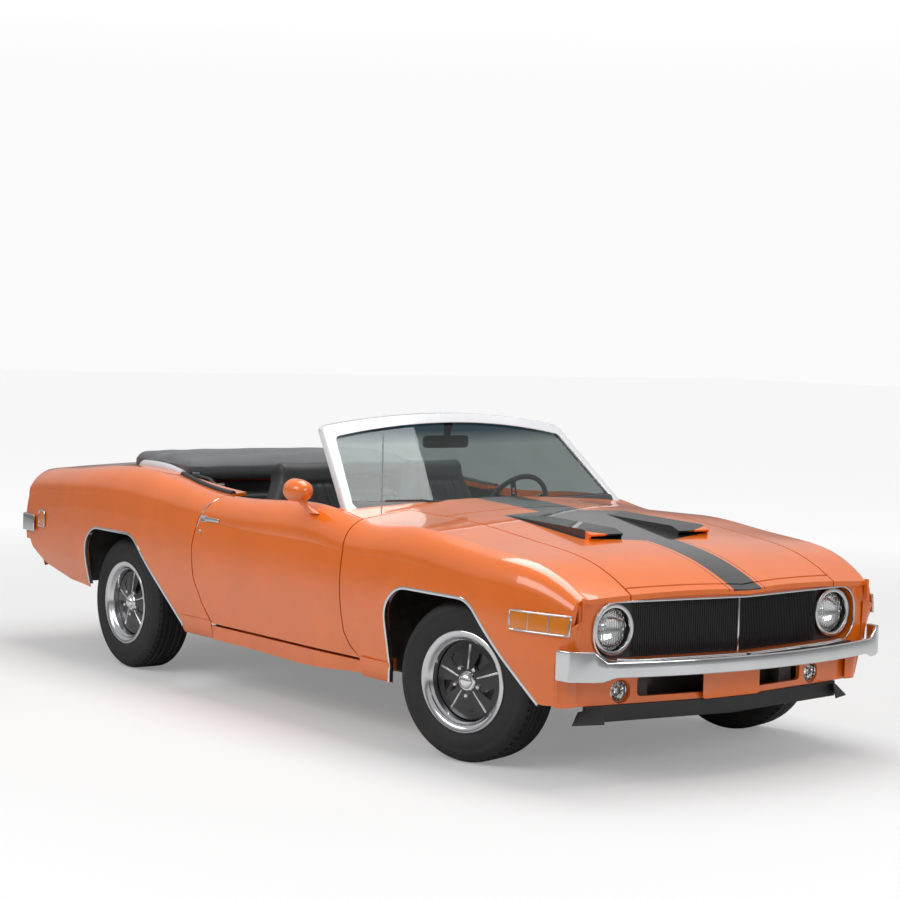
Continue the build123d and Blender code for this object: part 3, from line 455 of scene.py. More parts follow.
class Paints:
    """Every finish on the car, built once and looked up by name."""

    FINISHES: tuple[Finish, ...] = (
        BodyPaint("orange_enamel", "body_paint", (0.82, 0.155, 0.003), roughness=0.28, coat=1.0,
                  coat_roughness=0.015, grain_scale=900.0, grain_spread=0.025, bump=0.006,
                  bump_depth=0.0003, dust=0.06, dust_top=0.42),
        Finish("white_enamel", "frame_paint", (0.66, 0.67, 0.69), roughness=0.3, coat=0.8,
               grain_scale=700.0, bump=0.03, bump_depth=0.0005, patch=0.03),
        Finish("satin_black_paint", "black_paint", (0.014, 0.014, 0.016), roughness=0.42, coat=0.3,
               grain_scale=500.0, bump=0.08, dust=0.25, dust_top=0.45),
        Finish("underbody_black", "underbody", (0.03, 0.029, 0.028), roughness=0.85, grain_scale=120.0,
               bump=0.5, bump_depth=0.002, dust=0.6, dust_top=0.9, patch=0.3),
        Finish("bright_chrome", "chrome", (0.78, 0.79, 0.80), roughness=0.07, metallic=1.0,
               grain_scale=300.0, grain_spread=0.05, bump=0.02, bump_depth=0.0004, dust=0.12, dust_top=0.6),
        Glazing("screen_glass", "glass", (0.50, 0.60, 0.58), roughness=0.02, grain_spread=0.01,
                specular=0.5, band=(0.035, 0.10, 0.14)),
        Fluted("lamp_lens", "lamp_glass", (0.93, 0.95, 0.96), roughness=0.04, grain_spread=0.02, bump=0.35,
               bump_depth=0.003),
        Glazing("lamp_glass", "lamp_glass", (0.92, 0.94, 0.95), roughness=0.05, grain_spread=0.02,
                grain_scale=300.0),
        Glazing("red_lens", "red_lens", (0.55, 0.01, 0.012), roughness=0.12, transmission=0.35, coat=1.0),
        Glazing("amber_lens", "red_lens", (0.95, 0.27, 0.01), roughness=0.12, transmission=0.25, coat=1.0),
        Finish("black_plastic", "black_plastic", (0.02, 0.02, 0.021), roughness=0.6, grain_scale=700.0,
               bump=0.25, patch=0.2),
        Finish("black_vinyl", "vinyl", (0.022, 0.022, 0.024), roughness=0.5, grain_scale=650.0, bump=0.45,
               bump_depth=0.0012, coat=0.12, coat_roughness=0.3, patch=0.15),
        Woven("top_cloth", "top_cloth", (0.085, 0.088, 0.094), roughness=0.85, sheen=0.3, bump=0.5,
              bump_depth=0.0012, patch=0.2),
        Finish("tyre_rubber", "tyre", (0.011, 0.011, 0.012), roughness=0.66, grain_scale=420.0, bump=0.2,
               dust=0.06, dust_top=0.66, patch=0.12),
        Finish("polished_rim", "rim", (0.72, 0.73, 0.75), roughness=0.16, metallic=1.0, grain_scale=260.0,
               grain_spread=0.12, bump=0.04, dust=0.08, dust_top=0.66),
        Finish("black_spoke", "rim", (0.012, 0.012, 0.013), roughness=0.32, coat=0.6, grain_scale=400.0,
               bump=0.05),
        Finish("bare_steel", "steel", (0.33, 0.33, 0.34), roughness=0.42, metallic=0.9, grain_scale=200.0,
               bump=0.2, patch=0.4, dust=0.2, dust_top=0.6),
        Finish("cast_iron", "iron", (0.11, 0.105, 0.10), roughness=0.7, metallic=0.6, grain_scale=160.0,
               bump=0.6, bump_depth=0.002, patch=0.4),
        Finish("mirror_silver", "chrome", (0.9, 0.9, 0.9), roughness=0.04, metallic=1.0, grain_spread=0.01),
    )

    def __init__(self) -> None:
        """Builds all the materials."""
        self.made = {finish.name: finish.build() for finish in self.FINISHES}
        self.slots = {finish.name: finish.slot for finish in self.FINISHES}

    def dress(self, piece: Piece, *names: str) -> None:
        """Gives a piece its material slots.

        Args:
            piece: The mesh object.
            names: The finishes, in slot order.
        """
        piece.data.materials.clear()
        for name in names:
            piece.data.materials.append(self.made[name])


def turned(degrees: Point) -> Point:
    """The same turn about X, Y and Z in radians."""
    return tuple(math.radians(angle) for angle in degrees)


def placed(at: Sequence[float], degrees: float, axis: str = "Z") -> Matrix:
    """A turn about an axis through the origin, then a move.

    Args:
        at: Where the origin goes.
        degrees: The turn.
        axis: X, Y or Z.

    Returns:
        The matrix that does both.
    """
    return Matrix.Translation(at) @ Matrix.Rotation(math.radians(degrees), 4, axis)


def facing(x: float = 0, y: float = 0, z: float = 0) -> FaceTest:
    """A test for the faces that look one way.

    Args:
        x: 1 or -1 for the faces that look along X or against it.
        y: The same for Y.
        z: The same for Z.

    Returns:
        The test, for Bench.pick and Bench.press.
    """
    way = Vector((x, y, z))
    return lambda middle, normal: normal.dot(way) > AGREES


def ends_of(axis: str) -> FaceTest:
    """A test for the faces that look along an axis, either way."""
    return lambda middle, normal: abs(getattr(normal, axis)) > AGREES


class Bench:
    """Modelling moves made with Blender's own operators, one piece at a time."""

    @staticmethod
    def clear() -> None:
        """Leaves edit mode and deselects everything."""
        if bpy.context.object and bpy.context.object.mode != "OBJECT":
            bpy.ops.object.mode_set(mode="OBJECT")
        bpy.ops.object.select_all(action="DESELECT")

    @classmethod
    def take(cls, piece: Piece) -> None:
        """Makes a piece the only selected and the active one.

        Args:
            piece: The mesh object.
        """
        cls.clear()
        bpy.context.view_layer.objects.active = piece
        piece.select_set(True)

    @staticmethod
    def whole() -> None:
        """Selects all of the piece in edit mode."""
        bpy.ops.mesh.select_all(action="SELECT")

    @staticmethod
    def start(name: str) -> Piece:
        """Names the primitive just added and puts its place into its mesh.

        Args:
            name: The piece's name.

        Returns:
            The new object.
        """
        piece = bpy.context.object
        piece.name = name
        piece.data.name = name
        bpy.ops.object.transform_apply(location=True, rotation=True, scale=True)
        return piece

    @classmethod
    def drum(cls, name: str, radius: float, depth: float, at: Point, turn: Point = (0, 0, 0),
             sides: int = 48) -> Piece:
        """Adds a round primitive.

        Args:
            name: The piece's name.
            radius: Its radius.
            depth: Its length.
            at: Its middle.
            turn: Its rotation in degrees.
            sides: Sides round it.

        Returns:
            The new object.
        """
        cls.clear()
        bpy.ops.mesh.primitive_cylinder_add(
            vertices=sides, radius=radius, depth=depth, location=at, rotation=turned(turn))
        return cls.start(name)

    @classmethod
    def ring(cls, name: str, major: float, minor: float, at: Point, turn: Point = (0, 0, 0),
             sides: int = 64, section: int = 12) -> Piece:
        """Adds a torus and returns it.

        Args:
            name: The piece's name.
            major: Radius of its middle line.
            minor: Radius of its section.
            at: Its middle.
            turn: Its rotation in degrees.
            sides: Steps round it.
            section: Sides of its section.

        Returns:
            The new object.
        """
        cls.clear()
        bpy.ops.mesh.primitive_torus_add(
            major_radius=major, minor_radius=minor, major_segments=sides, minor_segments=section, location=at,
            rotation=turned(turn))
        return cls.start(name)

    @classmethod
    def block(cls, name: str, size: Point, at: Point) -> Piece:
        """Adds a cuboid of a given size and returns it.

        Args:
            name: The piece's name.
            size: Its three sizes.
            at: Its middle.

        Returns:
            The new object.
        """
        cls.clear()
        bpy.ops.mesh.primitive_cube_add(size=1.0, location=at)
        bpy.context.object.scale = size
        return cls.start(name)

    @classmethod
    def sheet(cls, name: str, rows: int, columns: int, shape: Callable[[float, float], Point]) -> Piece:
        """Adds a grid and lays each of its points on a curved form.

        Args:
            name: The piece's name.
            rows: Divisions along u.
            columns: Divisions along v.
            shape: Gives the point for u and v, both from 0 to 1.

        Returns:
            The new object.
        """
        cls.clear()
        bpy.ops.mesh.primitive_grid_add(x_subdivisions=rows, y_subdivisions=columns, size=1.0)
        piece = cls.start(name)
        for vertex in piece.data.vertices:
            vertex.co = shape(vertex.co.x + 0.5, vertex.co.y + 0.5)
        return piece

    @classmethod
    @contextmanager
    def editing(cls, piece: Piece, kind: str = "FACE") -> Iterator[None]:
        """Opens a piece in edit mode with nothing selected.

        Args:
            piece: The mesh object.
            kind: VERT, EDGE or FACE selection.

        Yields:
            Nothing; edit mode is left at the end.
        """
        cls.take(piece)
        bpy.ops.object.mode_set(mode="EDIT")
        bpy.ops.mesh.select_mode(type=kind)
        bpy.ops.mesh.select_all(action="DESELECT")
        yield
        bpy.ops.object.mode_set(mode="OBJECT")

    @staticmethod
    def pick(test: FaceTest) -> None:
        """Selects the faces whose middle and normal pass a test.

        Args:
            test: Gets the middle and the normal.
        """
        mesh = bmesh.from_edit_mesh(bpy.context.object.data)
        for face in mesh.faces:
            face.select_set(bool(test(face.calc_center_median(), face.normal)))
        bmesh.update_edit_mesh(bpy.context.object.data)

    @staticmethod
    def pick_edges(test: Callable[[Vector], bool]) -> None:
        """Selects the edges whose direction passes a test.

        Args:
            test: Gets the direction.
        """
        mesh = bmesh.from_edit_mesh(bpy.context.object.data)
        for edge in mesh.edges:
            edge.select_set(bool(test((edge.verts[1].co - edge.verts[0].co).normalized())))
        bmesh.update_edit_mesh(bpy.context.object.data)

    @classmethod
    def press(cls, piece: Piece, test: FaceTest,
              *steps: tuple[float, Point]) -> None:
        """Insets the faces that pass a test and moves what is left of them, once or more.

        Args:
            piece: The mesh object.
            test: Gets a face's middle and its normal.
            steps: How far each inset goes in, and the move after it.
        """
        with cls.editing(piece):
            cls.pick(test)
            for thickness, by in steps:
                bpy.ops.mesh.inset(thickness=thickness)
                if any(by):
                    bpy.ops.transform.translate(value=by)

    @classmethod
    def bridge(cls, piece: Piece) -> None:
        """Walls the holes that were cut through both faces of a piece.

        Args:
            piece: The mesh object.
        """
        with cls.editing(piece, "EDGE"):
            cls.whole()
            bpy.ops.mesh.select_non_manifold(extend=False)
            bpy.ops.mesh.bridge_edge_loops()

    @classmethod
    def thicken(cls, piece: Piece, thickness: float, offset: float = 0) -> None:
        """Gives a sheet its thickness, to both sides unless an offset says otherwise."""
        cls.modify(piece, "SOLIDIFY", thickness=thickness, offset=offset)

    @classmethod
    def modify(cls, piece: Piece, kind: str, **settings: object) -> None:
        """Adds a modifier and applies it.

        Args:
            piece: The mesh object.
            kind: The modifier's type.
            settings: The modifier's own properties.
        """
        cls.take(piece)
        modifier = piece.modifiers.new(kind.title(), kind)
        for name, value in settings.items():
            setattr(modifier, name, value)
        bpy.ops.object.modifier_apply(modifier=modifier.name)

    @classmethod
    def round_edges(cls, piece: Piece, width: float, segments: int = 2, angle: float = 35) -> None:
        """Bevels the sharp edges."""
        cls.modify(piece, "BEVEL", width=width, segments=segments, limit_method="ANGLE",
                   angle_limit=math.radians(angle))

    @classmethod
    def smooth(cls, piece: Piece, angle: float = 35) -> None:
        """Smooth shading but for the edges sharper than an angle.

        Args:
            piece: The mesh object.
            angle: The angle in degrees.
        """
        cls.take(piece)
        bpy.ops.object.shade_smooth_by_angle(angle=math.radians(angle))

    @classmethod
    def tidy(cls, piece: Piece) -> None:
        """Merges doubled points and turns the faces outwards.

        Args:
            piece: The mesh object.
        """
        with cls.editing(piece, "VERT"):
            cls.whole()
            bpy.ops.mesh.remove_doubles(threshold=0.0001)
            bpy.ops.mesh.normals_make_consistent(inside=False)

    @classmethod
    def lathe(cls, name: str, profile: Sequence[tuple[float, float]], steps: int = 64) -> Piece:
        """Spins an outline of radius and Y about the Y axis.

        Args:
            name: The piece's name.
            profile: Radius and Y of each corner, open or closed.
            steps: Steps round the turn.

        Returns:
            The new object, about the origin.
        """
        cls.clear()
        bpy.ops.mesh.primitive_plane_add(size=0.01, location=(profile[0][0], profile[0][1], 0))
        piece = cls.start(name)
        with cls.editing(piece, "VERT"):
            mesh = bmesh.from_edit_mesh(piece.data)
            for vertex in list(mesh.verts)[1:]:
                mesh.verts.remove(vertex)
            mesh.verts.ensure_lookup_table()
            mesh.verts[0].co = (profile[0][0], profile[0][1], 0)
            mesh.verts[0].select_set(True)
            bmesh.update_edit_mesh(piece.data)
            for (r0, y0), (r1, y1) in zip(profile, profile[1:]):
                bpy.ops.mesh.extrude_vertices_move(TRANSFORM_OT_translate={"value": (r1 - r0, y1 - y0, 0)})
            cls.whole()
            bpy.ops.mesh.spin(steps=steps, dupli=False, angle=math.tau, center=(0, 0, 0), axis=(0, 1, 0))
            cls.whole()
            bpy.ops.mesh.remove_doubles(threshold=0.0001)
            bpy.ops.mesh.normals_make_consistent(inside=False)
        return piece

    @classmethod
    def sweep(cls, name: str, path: Sequence[Point], thickness: float, closed: bool = False) -> Piece:
        """A round bar along a path, drawn as a curve and made a mesh.

        Args:
            name: The piece's name.
            path: Points along the middle.
            thickness: Its diameter.
            closed: Whether the path closes on itself.

        Returns:
            The new object.
        """
        cls.clear()
        bpy.ops.curve.primitive_bezier_curve_add(location=(0, 0, 0))
        line = bpy.context.object
        line.data.splines.clear()
        spline = line.data.splines.new("POLY")
        spline.points.add(len(path) - 1)
        for point, place in zip(spline.points, path):
            point.co = (*place, 1.0)
        spline.use_cyclic_u = closed
        line.data.dimensions = "3D"
        line.data.bevel_mode = "ROUND"
        line.data.bevel_resolution = 2
        line.data.use_fill_caps = True
        line.data.bevel_depth = thickness / 2
        bpy.ops.object.convert(target="MESH")
        return cls.start(name)

    @classmethod
    def copy(cls, piece: Piece, name: str, by: Matrix) -> Piece:
        """Copies a piece with a mesh of its own, moved by a matrix.

        Args:
            piece: The piece to copy.
            name: The copy's name.
            by: The move and turn.

        Returns:
            The copy.
        """
        twin = piece.copy()
        twin.data = piece.data.copy()
        twin.name = name
        twin.data.name = name
        bpy.context.scene.collection.objects.link(twin)
        return cls.move(twin, by)

    @classmethod
    def join(cls, pieces: Sequence[Piece], name: str) -> Piece:
        """Joins pieces into the first one and returns it.

        Args:
            pieces: The pieces to join.
            name: The name of the whole.

        Returns:
            The joined piece.
        """
        cls.clear()
        for piece in pieces:
            piece.select_set(True)
        bpy.context.view_layer.objects.active = pieces[0]
        bpy.ops.object.join()
        joined = bpy.context.object
        joined.name = name
        joined.data.name = name
        return joined

    @classmethod
    def move(cls, piece: Piece, by: Matrix) -> Piece:
        """Moves a piece's mesh and leaves its object at the origin."""
        piece.data.transform(by)
        return piece


@dataclass
class Assembly:
    """Shared parts of every sub-assembly: its paints and the pieces it has made."""

    paints: Paints
    made: list[str] = field(default_factory=list)

    def keep(self, piece: Piece, finish: str, smooth: float | None = 35, body: str = "chassis") -> Piece:
        """Dresses a finished piece and lets it ride on its body.

        Args:
            piece: The mesh object.
            finish: Its finish.
            smooth: The angle for smooth shading, or None to leave it flat.
            body: The CAD body that carries it.

        Returns:
            The same piece.
        """
        if smooth is not None:
            Bench.smooth(piece, smooth)
        self.paints.dress(piece, finish)
        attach(piece, body)
        self.made.append(piece.name)
        LOG.info("%s: %d faces on %s", piece.name, len(piece.data.polygons), body)
        return piece


@dataclass
class CadDress(Assembly):
    """Finishes for the CAD nodes that stay in view."""

    nodes_of: dict[str, tuple[str, ...]] = field(default_factory=lambda: {
        "orange_enamel": ("cowl_panel", "fender_left", "fender_right", "quarter_left", "quarter_right",
                          "tail_panel", "nose_panel", "hood", "deck_lid", "door_left", "door_right",
                          "front_valance", "sills", "mirror_right", "front_plate"),
        "white_enamel": ("windshield_frame",),
        "screen_glass": ("windshield_glass",),
        "underbody_black": ("floor_pan", "wheelhouses", "firewall"),
        "bare_steel": ("fuel_tank", "exhaust"),
        "cast_iron": ("rear_axle", "front_suspension", "knuckle_left", "knuckle_right", "engine_block"),
        "satin_black_paint": ("grille",),
        "lamp_glass": ("front_lamps",),
        "bright_chrome": ("front_bumper", "rear_bumper", "fittings_left", "fittings_right", "antenna",
                          "grille_trim"),
        "black_plastic": ("chin_spoiler", "dashboard", "inside_mirror"),
        "red_lens": ("tail_lamps",),
        "amber_lens": ("side_markers",),
        "black_vinyl": ("steering_wheel", "front_seats", "rear_seat", "rear_trim"),
        "top_cloth": ("folded_top",),
    })

    rounded: dict[str, float] = field(default_factory=lambda: {
        "front_bumper": 0.006, "rear_bumper": 0.006, "windshield_frame": 0.006, "grille_trim": 0.0016,
        "chin_spoiler": 0.003, "inside_mirror": 0.004, "dashboard": 0.012, "side_markers": 0.0015,
        "front_plate": 0.001,
    })

    frame_foot: float = 0.9785
    frame_half: float = 0.752

    def build(self, nodes: dict[str, Piece]) -> None:
        """Gives each node its finish and smooth shading.

        Args:
            nodes: The CAD nodes by name.
        """
        finish_of = {name: finish for finish, names in self.nodes_of.items() for name in names}
        for name, node in nodes.items():
            finish = finish_of.get(name) or ("tyre_rubber" if name.startswith("tyre") else "polished_rim")
            self.paints.dress(node, finish)
            Bench.smooth(node, 30)
            if name in self.rounded:
                self._soften(node, self.rounded[name])
            if name == "windshield_frame":
                self._black_foot(node, finish)
            LOG.info("%s: %s", name, finish)

    @staticmethod
    def _soften(node: Piece, width: float) -> None:
        """Rounds a node's sharp edges with modifiers, without a change to its mesh.

        Args:
            node: The CAD node.
            width: The rounding's width.
        """
        node.modifiers.new("weld", "WELD").merge_threshold = 0.00005
        bevel = node.modifiers.new("bevel", "BEVEL")
        bevel.width = width
        bevel.segments = 3
        bevel.limit_method = "ANGLE"
        bevel.angle_limit = math.radians(38)

    def _black_foot(self, frame: Piece, finish: str) -> None:
        """Paints the lower bar of the windscreen's frame black between its two pillars.

        Args:
            frame: The CAD node.
            finish: The rest of the frame's finish.
        """
        self.paints.dress(frame, finish, "satin_black_paint")
        for polygon in frame.data.polygons:
            middle = polygon.center
            polygon.material_index = int(middle.z < self.frame_foot and abs(middle.y) < self.frame_half)


@dataclass
class Wheel(Assembly):
    """One road wheel: a five-spoke rim and a grooved tyre, made once and copied."""

    tyre_r: float = TYRE_R
    bead_r: float = 0.190
    half_w: float = 0.107
    rim_r: float = 0.206
    spokes: int = 5
    spoke_half: float = 20.0
    dish: float = 0.016
    nut_circle: float = 0.060
    groove_depth: float = 0.007

    @property
    def pitch(self) -> float:
        """Degrees from one spoke to the next."""
        return 360 / self.spokes

    def build(self) -> None:
        """Makes the five parts of a wheel and puts copies of them on each wheel body."""
        parts = [("tyre", self._tyre(), "tyre_rubber"), ("rim", self._rim(), "polished_rim"),
                 ("spider", self._spider(), "black_spoke"), ("ribs", self._ribs(), "polished_rim"),
                 ("cap", self._cap(), "mirror_silver")]
        for end, axle_x in ((End.FRONT, FRONT_AXLE_X), (End.REAR, REAR_AXLE_X)):
            for side in Side:
                place = self._place(end, axle_x, side)
                spot = f"{end.value}_{side.word}"
                for kind, blank, finish in parts:
                    piece = Bench.copy(blank, f"{kind}_detail_{spot}", place)
                    self.keep(piece, finish, 32, f"wheel_{spot}")
                    if kind in ("tyre", "rim"):
                        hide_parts(f"{kind}_{spot}")
        for _, blank, _ in parts:
            bpy.data.objects.remove(blank)

    def _place(self, end: End, axle_x: float, side: Side) -> Matrix:
        """Where a wheel sits; the front ones follow the steered kingpins.

        Args:
            end: Front or rear.
            axle_x: The axle's place along X.
            side: Left or right.

        Returns:
            The wheel's place and turn.
        """
        turn = STEER if end is End.FRONT else 0.0
        arm = side.value * (WHEEL_Y - KINGPIN_Y)
        x = axle_x - arm * math.sin(turn)
        y = side.value * KINGPIN_Y + arm * math.cos(turn)
        face = turn + (0.0 if side is Side.LEFT else math.pi)
        return Matrix.Translation((x, y, AXLE_Z)) @ Matrix.Rotation(face, 4, "Z")

    def _tyre(self) -> Piece:
        """A rounded tyre with ribs, grooves, cross cuts and sidewall rings.

        Returns:
            The blank at the origin.
        """
        r = self.tyre_r
        foot = r - self.groove_depth
        tread = [(r - 0.0015, -0.068), (foot, -0.066), (foot, -0.061), (r - 0.0005, -0.059),
                 (r, -0.040), (foot, -0.038), (foot, -0.033), (r, -0.031),
                 (r, -0.012), (foot, -0.010), (foot, -0.005), (r, -0.003)]
        outline = [(self.bead_r, -0.080), (self.bead_r + 0.002, -0.093), (0.204, -0.100), (0.212, -0.1025),
                   (0.216, -0.1015), (0.220, -0.1035), (0.245, -0.1065), (0.262, -self.half_w),
                   (0.266, -0.1060), (0.282, -0.1055), (0.286, -0.1062), (0.300, -0.1015), (0.312, -0.094),
                   (0.321, -0.084), (0.3265, -0.074)]
        half = outline + tread
        profile = half + [(radius, -y) for radius, y in reversed(half)]
        tyre = Bench.lathe("tyre_blank", profile, 120)

        def shoulder(mid: Vector, _: Vector) -> bool:
            """True on every other block of the tread's two shoulders."""
            return (0.062 < abs(mid.y) < 0.083 and math.hypot(mid.x, mid.z) > 0.316
                    and int(math.degrees(math.atan2(mid.z, mid.x)) // 3 + 200) % 2 == 0)

        with Bench.editing(tyre):
            Bench.pick(shoulder)
            bpy.ops.mesh.inset(thickness=0.0012, use_individual=True)
            bpy.ops.transform.shrink_fatten(value=-0.0045)
        return tyre

    def _rim(self) -> Piece:
        """The wide polished lip and the barrel.

        Returns:
            The blank at the origin.
        """
        profile = [(0.188, -0.088), (0.196, -0.096), (self.rim_r - 0.001, -0.100), (self.rim_r, -0.103),
                   (0.203, -0.105), (0.196, -0.104), (0.186, -0.101), (0.160, -0.072), (0.155, 0.010),
                   (0.158, 0.026), (0.161, 0.040), (0.163, 0.062), (0.166, 0.078), (0.172, 0.084),
                   (0.176, 0.090), (0.180, 0.098), (0.188, 0.103), (0.197, 0.1055), (0.203, 0.106),
                   (self.rim_r, 0.104), (self.rim_r - 0.001, 0.100), (0.196, 0.096), (0.188, 0.088)]
        return Bench.lathe("rim_blank", profile, 96)

    def _spider(self) -> Piece:
        """The black dished centre with a window between each two spokes.

        Returns:
            The blank at the origin.
        """
        disc = Bench.drum("spider_blank", 0.158, 0.012, (0, 0.046, 0), (90, 0, 0), 100)
        still = (0, 0, 0)
        Bench.press(disc, ends_of("y"), (0.026, still), (0.066, still), (0.020, still))

        def window(mid: Vector, n: Vector) -> bool:
            """True in the open parts between the spokes.

            Args:
                mid: The face's middle.
                n: The face's normal.

            Returns:
                Whether it is in a window.
            """
            reach = math.hypot(mid.x, mid.z)
            turn = (math.degrees(math.atan2(mid.z, mid.x)) - 90 + self.pitch / 2) % self.pitch
            return abs(n.y) > AGREES and 0.07 < reach < 0.13 and abs(turn - self.pitch / 2) > self.spoke_half

        with Bench.editing(disc):
            Bench.pick(window)
            bpy.ops.mesh.inset(thickness=0.003)
            bpy.ops.mesh.delete(type="FACE")
        Bench.bridge(disc)
        with Bench.editing(disc, "VERT"):
            mesh = bmesh.from_edit_mesh(disc.data)
            for vertex in mesh.verts:
                reach = math.hypot(vertex.co.x, vertex.co.z)
                vertex.co.y += self.dish * math.cos(min(1.0, reach / 0.14) * math.pi / 2)
            bmesh.update_edit_mesh(disc.data)
            Bench.whole()
            bpy.ops.mesh.normals_make_consistent(inside=False)
        Bench.round_edges(disc, 0.0025, 2)
        return disc

    def _ribs(self) -> Piece:
        """Bright ridges down the middle of each spoke and the wheel nuts between them.

        Returns:
            The blank at the origin.
        """
        ribs = []
        for index in range(self.spokes):
            angle = math.radians(90 + self.pitch * index)
            rib = Bench.block("rib", (0.014, 0.010, 0.104), (0, 0.060, 0.098))
            with Bench.editing(rib):
                Bench.pick(facing(y=1))
                bpy.ops.transform.resize(value=(0.35, 1.0, 0.96), center_override=(0, 0.060, 0.098))
                Bench.pick(facing(z=1))
                bpy.ops.transform.resize(value=(1.5, 1.0, 1.0), center_override=(0, 0.055, 0.150))
                bpy.ops.transform.translate(value=(0, -0.010, 0))
                Bench.pick(facing(z=-1))
                bpy.ops.transform.translate(value=(0, 0.002, 0))
            Bench.round_edges(rib, 0.0012, 2)
            ribs.append(Bench.move(rib, Matrix.Rotation(-angle + math.pi / 2, 4, "Y")))
            nut = Bench.drum("nut", 0.0095, 0.018, (0, 0.066, 0), (90, 0, 0), 6)
            Bench.press(nut, facing(y=1), (0.003, (0, 0.004, 0)))
            between = math.radians(90 + self.pitch / 2 + self.pitch * index)
            spot = (self.nut_circle * math.cos(between), 0, self.nut_circle * math.sin(between))
            ribs.append(Bench.move(nut, Matrix.Translation(spot)))
        return Bench.join(ribs, "ribs_blank")

    def _cap(self) -> Piece:
        """The small domed hub cap with a stepped collar."""
        return Bench.lathe("cap_blank", [(0.040, 0.050), (0.041, 0.068), (0.037, 0.073), (0.032, 0.074),
                                         (0.030, 0.080), (0.022, 0.087), (0.010, 0.090), (0.0, 0.0905)], 48)


@dataclass
class Nose(Assembly):
    """Grille mesh, lamps and the bright parts of the nose."""

    lamp: Point = (2.119, 0.604, 0.606)
    lamp_r: float = 0.089
    fog: Point = (2.085, 0.527, 0.354)
    fog_r: float = 0.046
    grille_front: float = 2.223
    rake: float = 0.1342

    def build(self) -> None:
        """Builds the grille mesh, the foot of the mouth, the headlamps and the fog lamps."""
        self._grille_mesh()
        for side in Side:
            self._foot(side)
        for side in Side:
            self._headlamp(side)
            self._fog_lamp(side)

    def _foot(self, side: Side) -> None:
        """The bright lower bar of the mouth and the dark recess between it and the bumper.

        Args:
            side: Left or right.
        """
        line = []
        for index in range(13):
            y = 0.010 + 0.610 * index / 12
            lift = 0.006 * max(0.0, (index - 10) / 2)
            line.append((2.288 - self.rake * y, side.value * y, 0.488 + lift))
        bar = Bench.sweep(f"mouth_bar_{side.word}", line, 0.013)
        self.keep(bar, "bright_chrome", 50)

        def recess(u: float, v: float) -> Point:
            """From under the bar down behind the bumper.

            Args:
                u: From 0 to 1 along the piece.
                v: From 0 to 1 across it.

            Returns:
                The point.
            """
            y = 0.690 * u
            x = 2.2865 - self.rake * y + 0.004 * math.sin(math.pi * v)
            return (x, side.value * y, 0.4865 - 0.022 * v)

        dark = Bench.sheet(f"bumper_recess_{side.word}", 16, 4, recess)
        Bench.thicken(dark, 0.002)
        self.keep(dark, "satin_black_paint")

    def _grille_mesh(self) -> None:
        """Fine crossing bars ahead of the grille's back plate."""
        bars = []
        front = self.grille_front + 0.006
        for row in range(26):
            z = 0.499 + row * 0.0082
            half = 0.500 if 0.52 < z < 0.69 else 0.490
            for side in Side:
                bar = Bench.block("bar", (0.004, half, 0.0022), (front, side.value * half / 2, z))
                sweep_back = Matrix.Rotation(side.value * math.atan(self.rake), 4, "Z")
                bars.append(Bench.move(
                    bar, Matrix.Translation((front, 0, 0)) @ sweep_back @ Matrix.Translation((-front, 0, 0))))
        for column in range(-48, 49):
            y = column * 0.0104
            if column:
                x = self.grille_front + 0.009 - self.rake * abs(y)
                bars.append(Bench.block("bar", (0.004, 0.0024, 0.214), (x, y, 0.602)))
        self.keep(Bench.join(bars, "grille_mesh"), "satin_black_paint", None)

    def _turned_piece(self, name: str, outline: Sequence[tuple[float, float]], steps: int, spot: Point,
                      finish: str, wall: float = 0.0) -> Piece:
        """A lathed piece that faces forward on the chassis.

        Args:
            name: The piece's name.
            outline: Radius and distance forward of each corner.
            steps: Steps round the turn.
            spot: Where its middle goes.
            finish: Its finish.
            wall: Thickness to the inside, or 0 for a bare skin.

        Returns:
            The kept piece.
        """
        piece = Bench.lathe(name, outline, steps)
        if wall:
            Bench.thicken(piece, wall, -1)
        return self.keep(Bench.move(piece, placed(spot, -90)), finish)

    def _headlamp(self, side: Side) -> None:
        """A domed fluted lens over a silvered bowl.

        Args:
            side: Left or right.
        """
        word, r = side.word, self.lamp_r
        spot = (self.lamp[0], side.value * self.lamp[1], self.lamp[2])
        lens = self._turned_piece(
            f"headlamp_lens_{word}",
            [(r - 0.001, 0.018), (r - 0.002, 0.021), (r * 0.85, 0.026), (r * 0.6, 0.0305), (r * 0.3, 0.033),
             (0.0, 0.034)], 72, spot, "lamp_lens", wall=0.003)
        self._turned_piece(
            f"headlamp_bowl_{word}",
            [(r - 0.003, 0.016), (r * 0.9, 0.004), (r * 0.7, -0.012), (r * 0.4, -0.022), (r * 0.14, -0.026),
             (r * 0.12, -0.010), (0.0, -0.008)], 48, spot, "mirror_silver")
        if side is Side.LEFT:
            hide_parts("front_lamps")

    def _fog_lamp(self, side: Side) -> None:
        """A small round lamp with a bright rim and a fluted lens.

        Args:
            side: Left or right.
        """
        word, r = side.word, self.fog_r
        spot = (self.fog[0], side.value * self.fog[1], self.fog[2])
        self._turned_piece(
            f"fog_lamp_rim_{word}",
            [(r * 0.80, 0.030), (r * 0.86, 0.034), (r - 0.001, 0.030), (r - 0.0005, -0.028), (r * 0.5, -0.029),
             (0, -0.029)], 40, spot, "bright_chrome", wall=0.002)
        self._turned_piece(
            f"fog_lamp_bowl_{word}", [(r * 0.80, 0.024), (r * 0.6, 0.004), (r * 0.3, -0.006), (0, -0.008)],
            40, spot, "mirror_silver")
        self._turned_piece(
            f"fog_lamp_lens_{word}", [(r * 0.80, 0.026), (r * 0.6, 0.0285), (r * 0.3, 0.0295), (0, 0.030)],
            40, spot, "lamp_lens")


